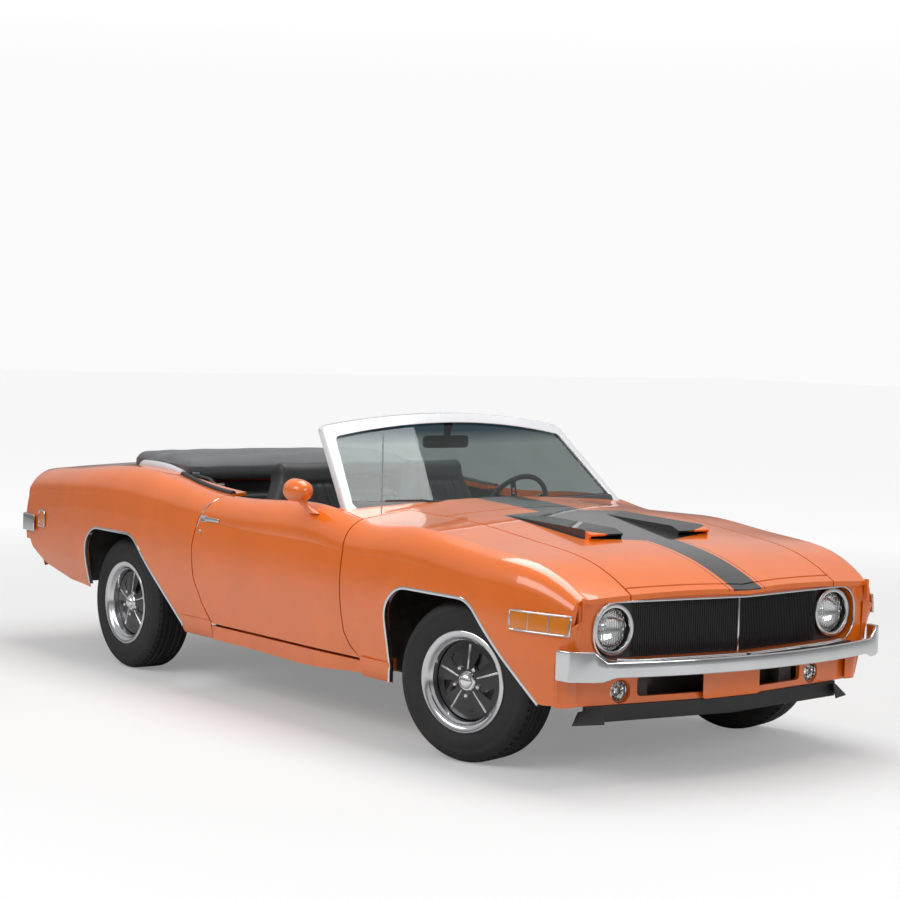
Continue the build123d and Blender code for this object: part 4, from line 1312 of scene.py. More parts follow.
def rounded(points: Sequence[tuple[float, float]], radius: float, steps: int = 9) -> list[Vector]:
    """Rounds the inner corners of an open outline.

    Args:
        points: The outline's corners.
        radius: The radius at each inner corner.
        steps: Divisions of each arc.

    Returns:
        Points along the rounded outline.
    """
    corners = [Vector(point) for point in points]
    path = [corners[0]]
    for before, corner, after in zip(corners, corners[1:], corners[2:]):
        a, b = (before - corner).normalized(), (after - corner).normalized()
        half = a.angle(b) / 2
        centre = corner + (a + b).normalized() * (radius / math.sin(half))
        reach = radius / math.tan(half)
        start, stop = corner + a * reach - centre, corner + b * reach - centre
        turn = start.angle(stop)
        for index in range(steps + 1):
            t = index / steps
            between = start * math.sin((1 - t) * turn) + stop * math.sin(t * turn)
            path.append(centre + between / math.sin(turn))
    path.append(corners[-1])
    return path


@dataclass(frozen=True)
class Skin:
    """Finds places on the faces of the CAD panels."""

    nodes: dict[str, Piece]
    outside: float = 2
    above: float = 1.4
    lowest_top: float = 0.9

    def side(self, names: Sequence[str], x: float, z: float, side: Side, other: float) -> float:
        """The distance from the middle of the car to the outer skin.

        Args:
            names: The panels to look at.
            x: Where along the car.
            z: Height.
            side: Left or right.
            other: What to answer where there is no skin.

        Returns:
            The distance, never negative.
        """
        start, way = (x, side.value * self.outside, z), (0, -side.value, 0)
        places = [self.hit(name, start, way) for name in names]
        return max((abs(place.y) for place in places if place), default=other)

    def top(self, names: Sequence[str], x: float, y: float, other: float) -> float:
        """The height of the highest skin over a place.

        Args:
            names: The panels to look at.
            x: Where along the car.
            y: Where across it.
            other: What to answer where there is no skin.

        Returns:
            The height.
        """
        places = [self.hit(name, (x, y, self.above), (0, 0, -1)) for name in names]
        found = max((place.z for place in places if place), default=0.0)
        return found if found > self.lowest_top else other

    def hit(self, name: str, origin: Point, way: Point) -> Vector | None:
        """The first place where a line meets a node, or None."""
        found, place, _, _ = self.nodes[name].ray_cast(Vector(origin), Vector(way))
        return place if found else None


@dataclass
class Fitted(Assembly):
    """A sub-assembly that finds its places on the faces of the CAD panels."""

    skin: Skin = field(kw_only=True)


@dataclass
class BodyTrim(Fitted):
    """Arch lips, wheel wells, lower strips, corner fillers and marker frames."""

    arches: tuple = (((1.085, 0.268), (1.085, 0.676), (1.640, 0.676), (2.005, 0.305)),
                     ((-1.590, 0.392), (-1.590, 0.690), (-1.075, 0.690), (-0.640, 0.290)))
    arch_radius: float = 0.150
    arch_step: float = 0.02
    lip_section: tuple = ((0.010, 0.0004), (0.009, 0.0022), (0.002, 0.0030), (-0.0015, 0.0018),
                          (-0.002, -0.004), (-0.002, -0.016))
    sides: tuple = ("fender_left", "fender_right", "quarter_left", "quarter_right")
    nose_half: float = 0.781
    filler_inset: float = 0.0008
    panel_wall: float = 0.003

    def build(self) -> None:
        """Builds the trim on both sides."""
        for side in Side:
            word = side.word
            for end, arch, axle_x in zip(End, self.arches, (FRONT_AXLE_X, REAR_AXLE_X)):
                self._lip(f"arch_lip_{end.value}_{word}", arch, axle_x, side)
            self._well(f"wheel_well_{word}", side)
            self._strip(f"lower_strip_front_{word}", 0.8695, 1.083, side)
            self._strip(f"lower_strip_rear_{word}", -0.640, -0.3655, side)
            self._fillers(word, side)
            for spot, low, high, bottom, top, bars in (("front", 1.900, 2.180, 0.595, 0.669, 2),
                                                       ("rear", -2.150, -2.080, 0.643, 0.724, 0)):
                self._marker(f"marker_frame_{spot}_{word}", low, high, bottom, top, bars, side)

    def _lip(self, name: str, arch: Sequence[tuple[float, float]], axle_x: float, side: Side) -> None:
        """A bright rolled lip along a wheel arch.

        Args:
            name: The piece's name.
            arch: Corners of the arch in X and Z.
            axle_x: The axle's place along X.
            side: Left or right.
        """
        path = rounded(arch, self.arch_radius, 12)
        fine: list[Vector] = []
        for a, b in zip(path, path[1:]):
            parts = max(1, int((b - a).length / self.arch_step))
            fine += [a.lerp(b, index / parts) for index in range(parts)]
        fine.append(path[-1])
        heart = Vector((axle_x, AXLE_Z))
        known, rows = 0.885, []
        for index, point in enumerate(fine):
            along = (fine[min(index + 1, len(fine) - 1)] - fine[max(index - 1, 0)]).normalized()
            out = Vector((along.y, -along.x))
            if out.dot(point - heart) < 0:
                out.negate()
            probe = point + out * 0.012
            known = self.skin.side(self.sides, probe.x, probe.y, side, known)
            rows.append((point, out, known))
        section = self.lip_section

        def shape(u: float, v: float) -> Point:
            """Places a corner of the section along the arch.

            Args:
                u: From 0 to 1 along the piece.
                v: From 0 to 1 across it.

            Returns:
                The point.
            """
            point, out, y = rows[round(u * (len(rows) - 1))]
            reach, proud = section[round(v * (len(section) - 1))]
            spot = point + out * reach
            return (spot.x, side.value * min(y + proud, BODY_HALF), spot.y)

        lip = Bench.sheet(name, len(rows) - 1, len(section) - 1, shape)
        Bench.tidy(lip)
        Bench.thicken(lip, 0.0012)
        self.keep(lip, "bright_chrome", 50)

    def _well(self, name: str, side: Side) -> None:
        """The dark inner tub over a rear wheel.

        Args:
            name: The piece's name.
            side: Left or right.
        """
        rear, foot, inner = -1.640, 0.400, 0.625
        outline = rounded(((rear, foot), (rear, 0.745), (-0.880, 0.745), (-0.700, foot)), 0.10, 8)
        last = len(outline) - 1
        arch = Bench.sheet(name, last, 6, lambda u, v: (
            outline[round(u * last)].x, side.value * (inner + 0.245 * v), outline[round(u * last)].y))
        wall = Bench.sheet("wall", 12, 4, lambda u, v: (
            rear + 0.94 * u, side.value * inner, foot + (0.340 if u < 0.8 else 0.340 - (u - 0.8) * 1.5) * v))
        well = Bench.join([arch, wall], name)
        Bench.thicken(well, self.panel_wall)
        self.keep(well, "underbody_black")

    def _strip(self, name: str, rear: float, front: float, side: Side) -> None:
        """The lower edge of a painted panel beside the sill.

        Args:
            name: The piece's name.
            rear: The strip's rear end along X.
            front: Its front end.
            side: Left or right.
        """
        strip = Bench.sheet(name, 10, 5, lambda u, v: (
            rear + (front - rear) * u, side.value * (0.8742 + 0.0145 * v - 0.010 * (1 - v) ** 6),
            0.262 + 0.086 * v))
        Bench.thicken(strip, self.panel_wall)
        self.keep(strip, "orange_enamel")

    def _fillers(self, word: str, side: Side) -> None:
        """Painted corners between a fender and the fascia, and a fender and the valance.

        Args:
            word: The side's word in names.
            side: Left or right.
        """
        fender = [f"fender_{word}"]

        def upper(u: float, v: float) -> Point:
            """From the fascia's end to the fender's front edge.

            Args:
                u: From 0 to 1 along the piece.
                v: From 0 to 1 across it.

            Returns:
                The point.
            """
            z = 0.480 + 0.258 * v
            edge = min(2.121 + max(0.0, z - 0.52) * 0.6, 2.202)
            y = max(self.nose_half, self.skin.side(fender, edge - 0.014, z, side, self.nose_half))
            x0, y0 = 2.169 + 0.012 * v, 0.780
            bulge = 0.010 * math.sin(math.pi * u)
            out = y0 + (y - self.filler_inset - y0) * u + bulge * 0.6
            return (x0 + (edge - 0.006 - x0) * u + bulge, side.value * out, z)

        def lower(u: float, v: float) -> Point:
            """From the valance's end to the fender's lower front edge.

            Args:
                u: From 0 to 1 along the piece.
                v: From 0 to 1 across it.

            Returns:
                The point.
            """
            z = 0.308 + 0.172 * v
            edge = 2.098 + (z - 0.31) * 0.10
            y = self.skin.side(fender, edge - 0.014, max(z, 0.335), side, 0.832)
            x0, y0 = 2.118, 0.745
            bulge = 0.012 * math.sin(math.pi * u)
            out = y0 + (y - y0 - self.filler_inset) * u + bulge * 0.5
            return (x0 + (edge - 0.006 - x0) * u + bulge, side.value * out, z)

        for label, shape in (("upper", upper), ("lower", lower)):
            filler = Bench.sheet(f"corner_{label}_{word}", 10, 12, shape)
            Bench.tidy(filler)
            Bench.thicken(filler, self.panel_wall)
            self.keep(filler, "orange_enamel")

    def _marker(self, name: str, low: float, high: float, bottom: float, top: float, bars: int,
                side: Side) -> None:
        """A bright frame round a marker lamp, with the bars across it.

        Args:
            name: The piece's name.
            low: The rear end along X.
            high: The front end.
            bottom: Height of the lower edge.
            top: Height of the upper edge.
            bars: Bars across the lamp.
            side: Left or right.
        """
        rim = 0.004

        def at(x: float, z: float) -> Point:
            """A place just proud of the lamp.

            Args:
                x: Place along the car.
                z: Height.

            Returns:
                The point.
            """
            inner_x, inner_z = min(max(x, low + rim), high - rim), min(max(z, bottom + rim), top - rim)
            y = self.skin.side(["side_markers"], inner_x, inner_z, side, 0.88)
            return (x, side.value * (y + 0.0005), z)

        long, tall = high - low, top - bottom
        edge = [at(low + long * i / 8, bottom) for i in range(9)]
        edge += [at(high, bottom + tall * i / 4) for i in range(1, 5)]
        edge += [at(high - long * i / 8, top) for i in range(1, 9)]
        edge += [at(low, top - tall * i / 4) for i in range(1, 4)]
        pieces = [Bench.sweep("edge", edge, 0.009, closed=True)]
        for index in range(bars):
            x = low + long * (index + 1) / (bars + 1)
            pieces.append(Bench.sweep("bar", [at(x, z) for z in (bottom, (bottom + top) / 2, top)], 0.006))
        self.keep(Bench.join(pieces, name), "bright_chrome", 50)


@dataclass
class DoorDress(Fitted):
    """Mirror, handles, locks, edge trim and inner cards of the doors."""

    mirror: Point = (0.412, -0.917, 1.016)
    mirror_turn: float = -94
    handle_z: float = 0.829

    def build(self) -> None:
        """Builds the pieces of both doors."""
        self._mirror()
        for side in Side:
            self._handle(side)
            self._card(side)

    def _mirror(self) -> None:
        """A bullet mirror on a stalk that sweeps forward to its foot."""
        x, y, z = self.mirror
        place = placed((x, y, z + 0.004), self.mirror_turn)
        flat = {"value": (1.0, 1.0, 0.90), "center_override": (0, 0, 0)}
        shell = Bench.lathe("mirror_shell", [
            (0.0, 0.070), (0.018, 0.068), (0.036, 0.059), (0.048, 0.042), (0.054, 0.018), (0.0565, -0.010),
            (0.0575, -0.040), (0.0555, -0.0465), (0.0515, -0.0455), (0.051, -0.039), (0.0, -0.039)], 56)
        with Bench.editing(shell):
            Bench.whole()
            bpy.ops.transform.resize(**flat)
        Bench.move(shell, place)
        stalk = Bench.block("mirror_stalk", (0.062, 0.034, 0.022), (x + 0.018, y + 0.006, z - 0.032))
        with Bench.editing(stalk):
            Bench.pick(facing(z=-1))
            for step, size in (((0.008, 0.008, -0.016), 0.86), ((0.018, 0.012, -0.014), 1.0),
                               ((0.020, 0.010, -0.012), 1.30), ((0.010, 0.002, -0.010), 1.25)):
                bpy.ops.mesh.extrude_region_move(TRANSFORM_OT_translate={"value": step})
                bpy.ops.transform.resize(value=(size, size, 1.0))
        Bench.modify(stalk, "SUBSURF", levels=3, render_levels=3)
        both = Bench.join([shell, stalk], "door_mirror")
        self.keep(both, "orange_enamel", body="door_right")
        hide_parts("mirror_right")
        glass = Bench.drum("mirror_face", 0.0495, 0.003, (0, -0.0405, 0), (90, 0, 0))
        Bench.press(glass, facing(y=-1), (0.004, (0, -0.0012, 0)))
        with Bench.editing(glass):
            Bench.whole()
            bpy.ops.transform.resize(**flat)
        self.keep(Bench.move(glass, place), "mirror_silver", body="door_right")

    def _handle(self, side: Side) -> None:
        """A flush pull with its thumb pad, the lock under it and the bright rear edge.

        Args:
            side: Left or right.
        """
        word, door = side.word, [f"door_{side.word}"]
        outwards = facing(y=side.value)
        y = self.skin.side(door, -0.335, self.handle_z, side, 0.922)
        pull = Bench.block("pull", (0.118, 0.010, 0.022), (-0.314, side.value * (y + 0.004), self.handle_z))
        with Bench.editing(pull):
            Bench.pick(facing(x=1))
            bpy.ops.transform.resize(value=(1, 0.6, 0.7))
        Bench.press(pull, outwards, (0.003, (0, side.value * 0.0012, 0)))
        plate = Bench.block("plate", (0.044, 0.008, 0.030), (-0.395, side.value * (y + 0.002), self.handle_z))
        Bench.press(plate, outwards, (0.005, (0, side.value * -0.002, 0)))
        for piece in (pull, plate):
            Bench.round_edges(piece, 0.0025, 3)
        low = self.skin.side(door, -0.405, 0.765, side, 0.925)
        lock = Bench.drum("lock", 0.010, 0.012, (-0.405, side.value * (low + 0.001), 0.768), (90, 0, 0), 32)
        Bench.press(lock, outwards, (0.003, (0, side.value * -0.0015, 0)))
        line = [(-0.362, 0.925), (-0.392, 0.895), (-0.418, 0.862), (-0.438, 0.828), (-0.455, 0.785)]
        edge = Bench.sweep("edge", [
            (x + 0.006, side.value * (self.skin.side(door, x + 0.010, z, side, 0.90) + 0.0005), z)
            for x, z in line], 0.005)
        handle = Bench.join([pull, plate, lock, edge], f"door_handle_{word}")
        self.keep(handle, "bright_chrome", body=f"door_{word}")
        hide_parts(f"fittings_{word}")

    def _card(self, side: Side) -> None:
        """The inner card with its armrest, pocket line and levers.

        Args:
            side: Left or right.
        """
        word, out = side.word, side.value
        card = Bench.block("card", (1.08, 0.008, 0.52), (0.17, out * 0.807, 0.64))
        Bench.press(card, facing(y=-out), (0.030, (0, out * -0.003, 0)), (0.008, (0, out * 0.003, 0)))
        Bench.round_edges(card, 0.003, 2)
        rest = Bench.block("rest", (0.42, 0.050, 0.060), (0.10, out * 0.785, 0.640))
        with Bench.editing(rest):
            Bench.pick(facing(x=1))
            bpy.ops.transform.resize(value=(1, 0.5, 0.6))
        Bench.round_edges(rest, 0.014, 4)
        self.keep(Bench.join([card, rest], f"door_card_{word}"), "black_vinyl", body=f"door_{word}")
        lever = Bench.sweep(
            "lever", [(0.44, out * 0.806, 0.745), (0.44, out * 0.792, 0.745), (0.36, out * 0.788, 0.742)],
            0.010)
        crank = Bench.sweep(
            "crank", [(0.30, out * 0.806, 0.560), (0.30, out * 0.790, 0.560), (0.38, out * 0.786, 0.530),
                      (0.38, out * 0.760, 0.530)], 0.011)
        self.keep(Bench.join([lever, crank], f"door_levers_{word}"), "bright_chrome", 50, f"door_{word}")


def valley(off: float, width: float) -> float:
    """A smooth groove: 1 on its line, falling away to 0 within about twice its width."""
    return math.exp(-(off / width) ** 2)


@dataclass
class Cabin(Fitted):
    """Seats, belt mouldings, sill covers, folded top, steering wheel, dials and inside mirror."""

    seat_y: float = 0.385
    seam: float = 0.022
    dash_probe: float = 0.30
    dash_x: float = 0.47
    wheel_at: Point = (0.262, 0.420, 0.890)
    wheel_axis: Point = (-0.906308, 0.0, 0.422618)
    wheel_r: float = 0.176

    def build(self) -> None:
        """Builds everything inside the cockpit."""
        for side in Side:
            self._front_seat(side)
        self._rear_seat()
        self._belt()
        self._sill_covers()
        self._folded_top()
        self._steering_wheel()
        self._dials()
        self._inside_mirror()

    def pad(self, name: str, size: Point, radius: float, crown: float, place: Matrix,
            cuts: tuple[int, int, int], press: Callable[[float, float, float], tuple[float, float]],
            finish: str = "black_vinyl", smooth: float = 60) -> Piece:
        """A crowned cushion with rounded edges and sewn channels.

        Args:
            name: The piece's name.
            size: Length, width and thickness.
            radius: The radius of its edges.
            crown: How far its faces swell in the middle.
            place: Where it goes.
            cuts: Divisions along length, width and thickness.
            press: For unit coordinates, the width's factor and how far the face is drawn in.
            finish: Its finish.
            smooth: The angle for smooth shading.

        Returns:
            The kept piece.
        """
        Bench.clear()
        bpy.ops.mesh.primitive_cube_add(size=2.0)
        piece = Bench.start(name)
        with Bench.editing(piece):
            for axis, count in enumerate(cuts):
                for index in range(1, count):
                    spot = [0.0, 0.0, 0.0]
                    spot[axis] = -1 + 2 * index / count
                    way = [0.0, 0.0, 0.0]
                    way[axis] = 1.0
                    Bench.whole()
                    bpy.ops.mesh.bisect(plane_co=spot, plane_no=way)
        half = Vector(size) / 2
        for vertex in piece.data.vertices:
            a, b, c = vertex.co
            full = Vector((a * half.x, b * half.y, c * half.z))
            core = Vector([max(radius - limit, min(limit - radius, value)) for value, limit in zip(full, half)])
            away = full - core
            spot = core + away.normalized() * radius if away.length > 1e-6 else full
            factor, drawn = press(a, b, c)
            swell = crown * (1 - a * a) * (1 - b * b)
            spot.z += math.copysign(swell, c) if abs(c) > 0.3 else 0.0
            if abs(c) > 0.6:
                spot.z -= math.copysign(drawn, c)
            spot.y *= factor * (1 - 0.02 * (1 - a * a))
            spot.x *= 1 - 0.015 * (1 - b * b)
            vertex.co = spot
        Bench.move(piece, place)
        Bench.tidy(piece)
        Bench.modify(piece, "SUBSURF", levels=1, render_levels=1)
        return self.keep(piece, finish, smooth)

    def _front_seat(self, side: Side) -> None:
        """A high-backed bucket seat: cushion, back, base and slide rails.

        Args:
            side: Left or right.
        """
        word, y = side.word, side.value * self.seat_y

        def channels(a: float, b: float, c: float, face: float) -> float:
            """How far the sewn channels draw the face in.

            Args:
                a: Along the cushion, -1 to 1.
                b: Across it.
                c: Through it.
                face: 1 for the upper face, -1 for the lower.

            Returns:
                The depth.
            """
            if c * face < 0:
                return 0.0
            lines = max(valley(b - spot, self.seam) for spot in (-0.66, -0.40, -0.13, 0.13, 0.40, 0.66))
            along = lines if abs(b) < 0.66 and abs(a) < 0.86 else 0.0
            ends = valley(abs(a) - 0.86, self.seam) if abs(b) < 0.68 else 0.0
            edges = valley(abs(b) - 0.66, self.seam) if abs(a) < 0.88 else 0.0
            return 0.011 * max(ends, along, edges)

        cushion = self.pad(f"seat_cushion_{word}", (0.50, 0.462, 0.135), 0.042, 0.012,
                           placed((-0.030, y, 0.385), -5, "Y"), (40, 44, 6),
                           lambda a, b, c: (1.0, channels(a, b, c, 1)))
        if side is Side.LEFT:
            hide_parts("front_seats")

        def taper(a: float) -> float:
            """The back narrows towards the head."""
            t = max(0.0, min(1.0, (a - 0.25) / 0.6))
            return 1.0 - 0.30 * t * t * (3 - 2 * t)

        back = self.pad(f"seat_back_{word}", (0.68, 0.462, 0.125), 0.045, 0.010,
                        placed((-0.318, y, 0.752), -101.5, "Y"), (50, 44, 6),
                        lambda a, b, c: (taper(a), channels(min(a * 1.25, 1.0), b, c, -1)))
        base = Bench.block("base", (0.36, 0.36, 0.050), (-0.04, y, 0.300))
        with Bench.editing(base):
            Bench.pick(facing(z=-1))
            bpy.ops.transform.resize(value=(0.92, 0.94, 1))
        Bench.round_edges(base, 0.008, 3)
        rails = [Bench.block("rail", (0.40, 0.030, 0.018), (-0.04, y + shift, 0.271))
                 for shift in (-0.15, 0.15)]
        for rail in rails:
            Bench.round_edges(rail, 0.004, 2)
        self.keep(Bench.join([base, *rails], f"seat_base_{word}"), "black_plastic")

    def _rear_seat(self) -> None:
        """A bench of two places: cushion and back."""
        def sewn(a: float, b: float, c: float, face: float) -> float:
            """Channels in each place and a valley between the two.

            Args:
                a: Along the cushion, -1 to 1.
                b: Across it.
                c: Through it.
                face: 1 for the upper face, -1 for the lower.

            Returns:
                The depth.
            """
            if c * face < 0:
                return 0.0
            spot = abs(b)
            lines = max(valley(spot - at, 0.010) for at in (0.14, 0.26, 0.38, 0.50, 0.62, 0.76))
            along = lines if abs(a) < 0.80 else 0.0
            ends = valley(abs(a) - 0.80, 0.03) if 0.13 < spot < 0.77 else 0.0
            return 0.009 * max(along, ends) + 0.018 * valley(b, 0.07)

        cushion = self.pad("rear_seat_cushion", (0.300, 1.130, 0.100), 0.038, 0.010,
                           placed((-0.742, 0, 0.450), -8, "Y"), (24, 96, 5),
                           lambda a, b, c: (1.0, sewn(a, b, c, 1)))
        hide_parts("rear_seat")
        back = self.pad("rear_seat_back", (0.450, 1.130, 0.095), 0.038, 0.010,
                        placed((-0.928, 0, 0.680), -98, "Y"), (32, 96, 5),
                        lambda a, b, c: (1.0, sewn(a, b, c, -1)))

    def _belt(self) -> None:
        """A soft black moulding along the cockpit's edge behind each door."""
        for side in Side:
            panels = [f"quarter_{side.word}"]
            line = []
            for index in range(15):
                x = -0.352 - 0.56 * index / 14
                y = 0.786 - 0.050 * (index / 14) ** 2
                z = self.skin.top(panels, x, side.value * (y + 0.012), 0.955)
                line.append((x, side.value * y, z + 0.002))
            belt = Bench.sweep(f"belt_moulding_{side.word}", line, 0.030)
            self.keep(belt, "black_vinyl", 60)

    def _sill_covers(self) -> None:
        """Ribbed covers over the inner sills, between the floor and the doors."""
        for side in Side:
            cover = Bench.block(f"sill_cover_{side.word}", (1.290, 0.122, 0.012),
                                (0.045, side.value * 0.731, 0.331))
            rib = ((0.014, (0, 0, -0.0022)), (0.003, (0, 0, 0.0022)))
            Bench.press(cover, facing(z=1), *rib, *rib, *rib)
            Bench.round_edges(cover, 0.0015, 2)
            self.keep(cover, "black_plastic")

    def _folded_top(self) -> None:
        """The folded soft top, the white welt round it and its side links."""
        def folds(a: float, b: float, c: float) -> tuple[float, float]:
            """Soft folds across the stack, lower at its front and its ends.

            Args:
                a: Along the stack, -1 to 1.
                b: Across it.
                c: Through it.

            Returns:
                The width's factor and the depth.
            """
            wave = 0.004 * math.sin(a * 9 + 1.5 * math.sin(b * 2.2)) + 0.003 * math.sin(b * 17 + a * 4)
            slope = 0.050 * max(0.0, (a + 0.15) / 1.15) ** 1.6 + 0.012 * abs(b) ** 6
            return 1.0, (wave + slope) if c > 0 else 0.0

        stack = self.pad("folded_top_stack", (0.580, 1.428, 0.120), 0.048, 0.012,
                         Matrix.Translation((-1.178, 0, 1.028)), (30, 60, 6), folds, "top_cloth", 70)
        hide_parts("folded_top")
        self._top_welt()
        self._top_links()

    def _top_welt(self) -> None:
        """The white band round the folded top, on the panels' edges."""
        half = [(-0.930, 0.716), (-0.985, 0.722), (-1.060, 0.724), (-1.120, 0.724), (-1.210, 0.724),
                (-1.300, 0.722), (-1.400, 0.716), (-1.455, 0.690), (-1.478, 0.640), (-1.486, 0.560),
                (-1.488, 0.300), (-1.489, 0.0)]
        panels = ("quarter_left", "quarter_right", "deck_lid")
        rim = [(x, y, self.skin.top(panels, x, y + 0.004, 0.985)) for x, y in half]
        rim = rim + [(x, -y, z) for x, y, z in reversed(rim[:-1])]
        count = len(rim) - 1

        def band(u: float, v: float) -> Point:
            """A point of the band, which is widest behind its pointed front ends.

            Args:
                u: From 0 to 1 along the piece.
                v: From 0 to 1 across it.

            Returns:
                The point.
            """
            x, y, z = rim[round(u * count)]
            near = min(u, 1 - u)
            swell = math.sin(math.pi * min(1.0, 3.2 * near)) if near < 0.156 else 1.0
            wide = 0.016 + 0.020 * abs(swell)
            lean = 0.010 * math.sin(math.pi * v)
            rear = x * (1 + lean * 0.2) if abs(y) < 0.6 else x
            return (rear, y * (1.0 + lean * 0.6 - 0.02 * v), z - 0.008 + wide * v)

        welt = Bench.sheet("top_welt", count, 4, band)
        Bench.thicken(welt, 0.005)
        Bench.modify(welt, "SUBSURF", levels=2, render_levels=2)
        self.keep(welt, "white_enamel", 60)

    def _top_links(self) -> None:
        """The arms and pivots that carry the folded top."""
        links = []
        for side in Side:
            y = side.value * 0.690
            inner = y - side.value * 0.03
            upper = [(-1.02, 0.985), (-0.90, 0.995), (-0.74, 0.985), (-0.66, 0.955)]
            lower = [(-0.98, 0.960), (-0.84, 0.962), (-0.70, 0.940), (-0.64, 0.900)]
            links.append(Bench.sweep("arm", [(x, y, z) for x, z in upper], 0.020))
            links.append(Bench.sweep("arm", [(x, inner, z) for x, z in lower], 0.016))
            for x, z in ((-0.90, 0.993), (-0.66, 0.952), (-0.80, 0.880)):
                pivot = Bench.drum("pivot", 0.019, 0.040, (x, y - side.value * 0.012, z), (90, 0, 0), 24)
                Bench.press(pivot, ends_of("y"), (0.005, (0, 0, 0)))
                links.append(pivot)
        self.keep(Bench.join(links, "top_links"), "satin_black_paint", 40)

    def _steering_wheel(self) -> None:
        """A padded rim, three pierced spokes and a hub."""
        face = Vector((0, 1, 0)).rotation_difference(Vector(self.wheel_axis)).to_matrix().to_4x4()
        place = Matrix.Translation(self.wheel_at) @ face
        rim = Bench.ring("steering_rim", self.wheel_r, 0.0125, (0, 0, 0), (90, 0, 0), 96, 16)
        hub = Bench.lathe("hub", [(0.0, 0.026), (0.030, 0.025), (0.040, 0.020), (0.043, 0.008), (0.040, -0.012),
                                  (0.026, -0.030), (0.022, -0.060), (0.0, -0.060)], 48)
        grip = Bench.join([rim, hub], "steering_rim")
        Bench.move(grip, place)
        self.keep(grip, "black_vinyl", body="steering_wheel")
        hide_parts("steering_wheel")
        spokes = []
        for angle in (0, 90, 180):
            spoke = Bench.block("spoke", (0.145, 0.004, 0.030), (0.104, 0.0, 0))
            low, high = 0.085, 0.135
            with Bench.editing(spoke):
                for cut in (low, high):
                    Bench.whole()
                    bpy.ops.mesh.bisect(plane_co=(cut, 0, 0), plane_no=(1, 0, 0))
                Bench.pick(lambda mid, n: abs(n.y) > AGREES and low < mid.x < high)
                bpy.ops.mesh.inset(thickness=0.008)
                bpy.ops.mesh.delete(type="FACE")
            Bench.bridge(spoke)
            Bench.round_edges(spoke, 0.001, 2)
            spokes.append(Bench.move(spoke, place @ Matrix.Rotation(math.radians(-angle), 4, "Y")))
        self.keep(Bench.join(spokes, "steering_spokes"), "bare_steel", body="steering_wheel")

    def _dials(self) -> None:
        """Four dials in bright rims, a glove box lid and a radio face on the dash."""
        rims, faces, plates = [], [], []
        for y, z, r in ((0.27, 0.815, 0.034), (0.355, 0.820, 0.044), (0.485, 0.820, 0.044),
                        (0.570, 0.815, 0.034)):
            place = placed((self._dash(y, z) - 0.004, y, z), 90)
            rim = Bench.lathe("rim", [(r - 0.004, 0.004), (r - 0.003, 0.010), (r, 0.009), (r + 0.002, 0.0),
                                      (r + 0.002, -0.012)], 40)
            rims.append(Bench.move(rim, place))
            face = Bench.lathe("face", [(r - 0.003, 0.003), (r * 0.3, 0.003), (r * 0.12, 0.004),
                                        (r * 0.1, 0.007), (0, 0.007)], 40)
            faces.append(Bench.move(face, place))
        self.keep(Bench.join(rims, "dial_rims"), "bright_chrome")
        self.keep(Bench.join(faces, "dial_faces"), "satin_black_paint")
        for y, z, wide, tall in ((-0.42, 0.78, 0.36, 0.12), (0.0, 0.80, 0.20, 0.060), (0.0, 0.725, 0.22, 0.05)):
            plate = Bench.block("plate", (0.010, wide, tall), (self._dash(y, z), y, z))
            Bench.press(plate, facing(x=-1), (0.006, (0.003, 0, 0)))
            Bench.round_edges(plate, 0.0015, 2)
            plates.append(plate)
        self.keep(Bench.join(plates, "dash_plates"), "black_plastic")

    def _dash(self, y: float, z: float) -> float:
        """Where the dash's face is, as X."""
        spot = self.skin.hit("dashboard", (self.dash_probe, y, z), (1, 0, 0))
        return spot.x if spot else self.dash_x

    def _inside_mirror(self) -> None:
        """The glass of the inside mirror."""
        low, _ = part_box("inside_mirror")
        glass = Bench.block("inside_mirror_glass", (0.003, 0.232, 0.042), (low[0] - 0.0002, 0, low[2] + 0.029))
        Bench.press(glass, facing(x=-1), (0.003, (0, 0, 0)))
        Bench.round_edges(glass, 0.0012, 2)
        self.keep(glass, "mirror_silver")


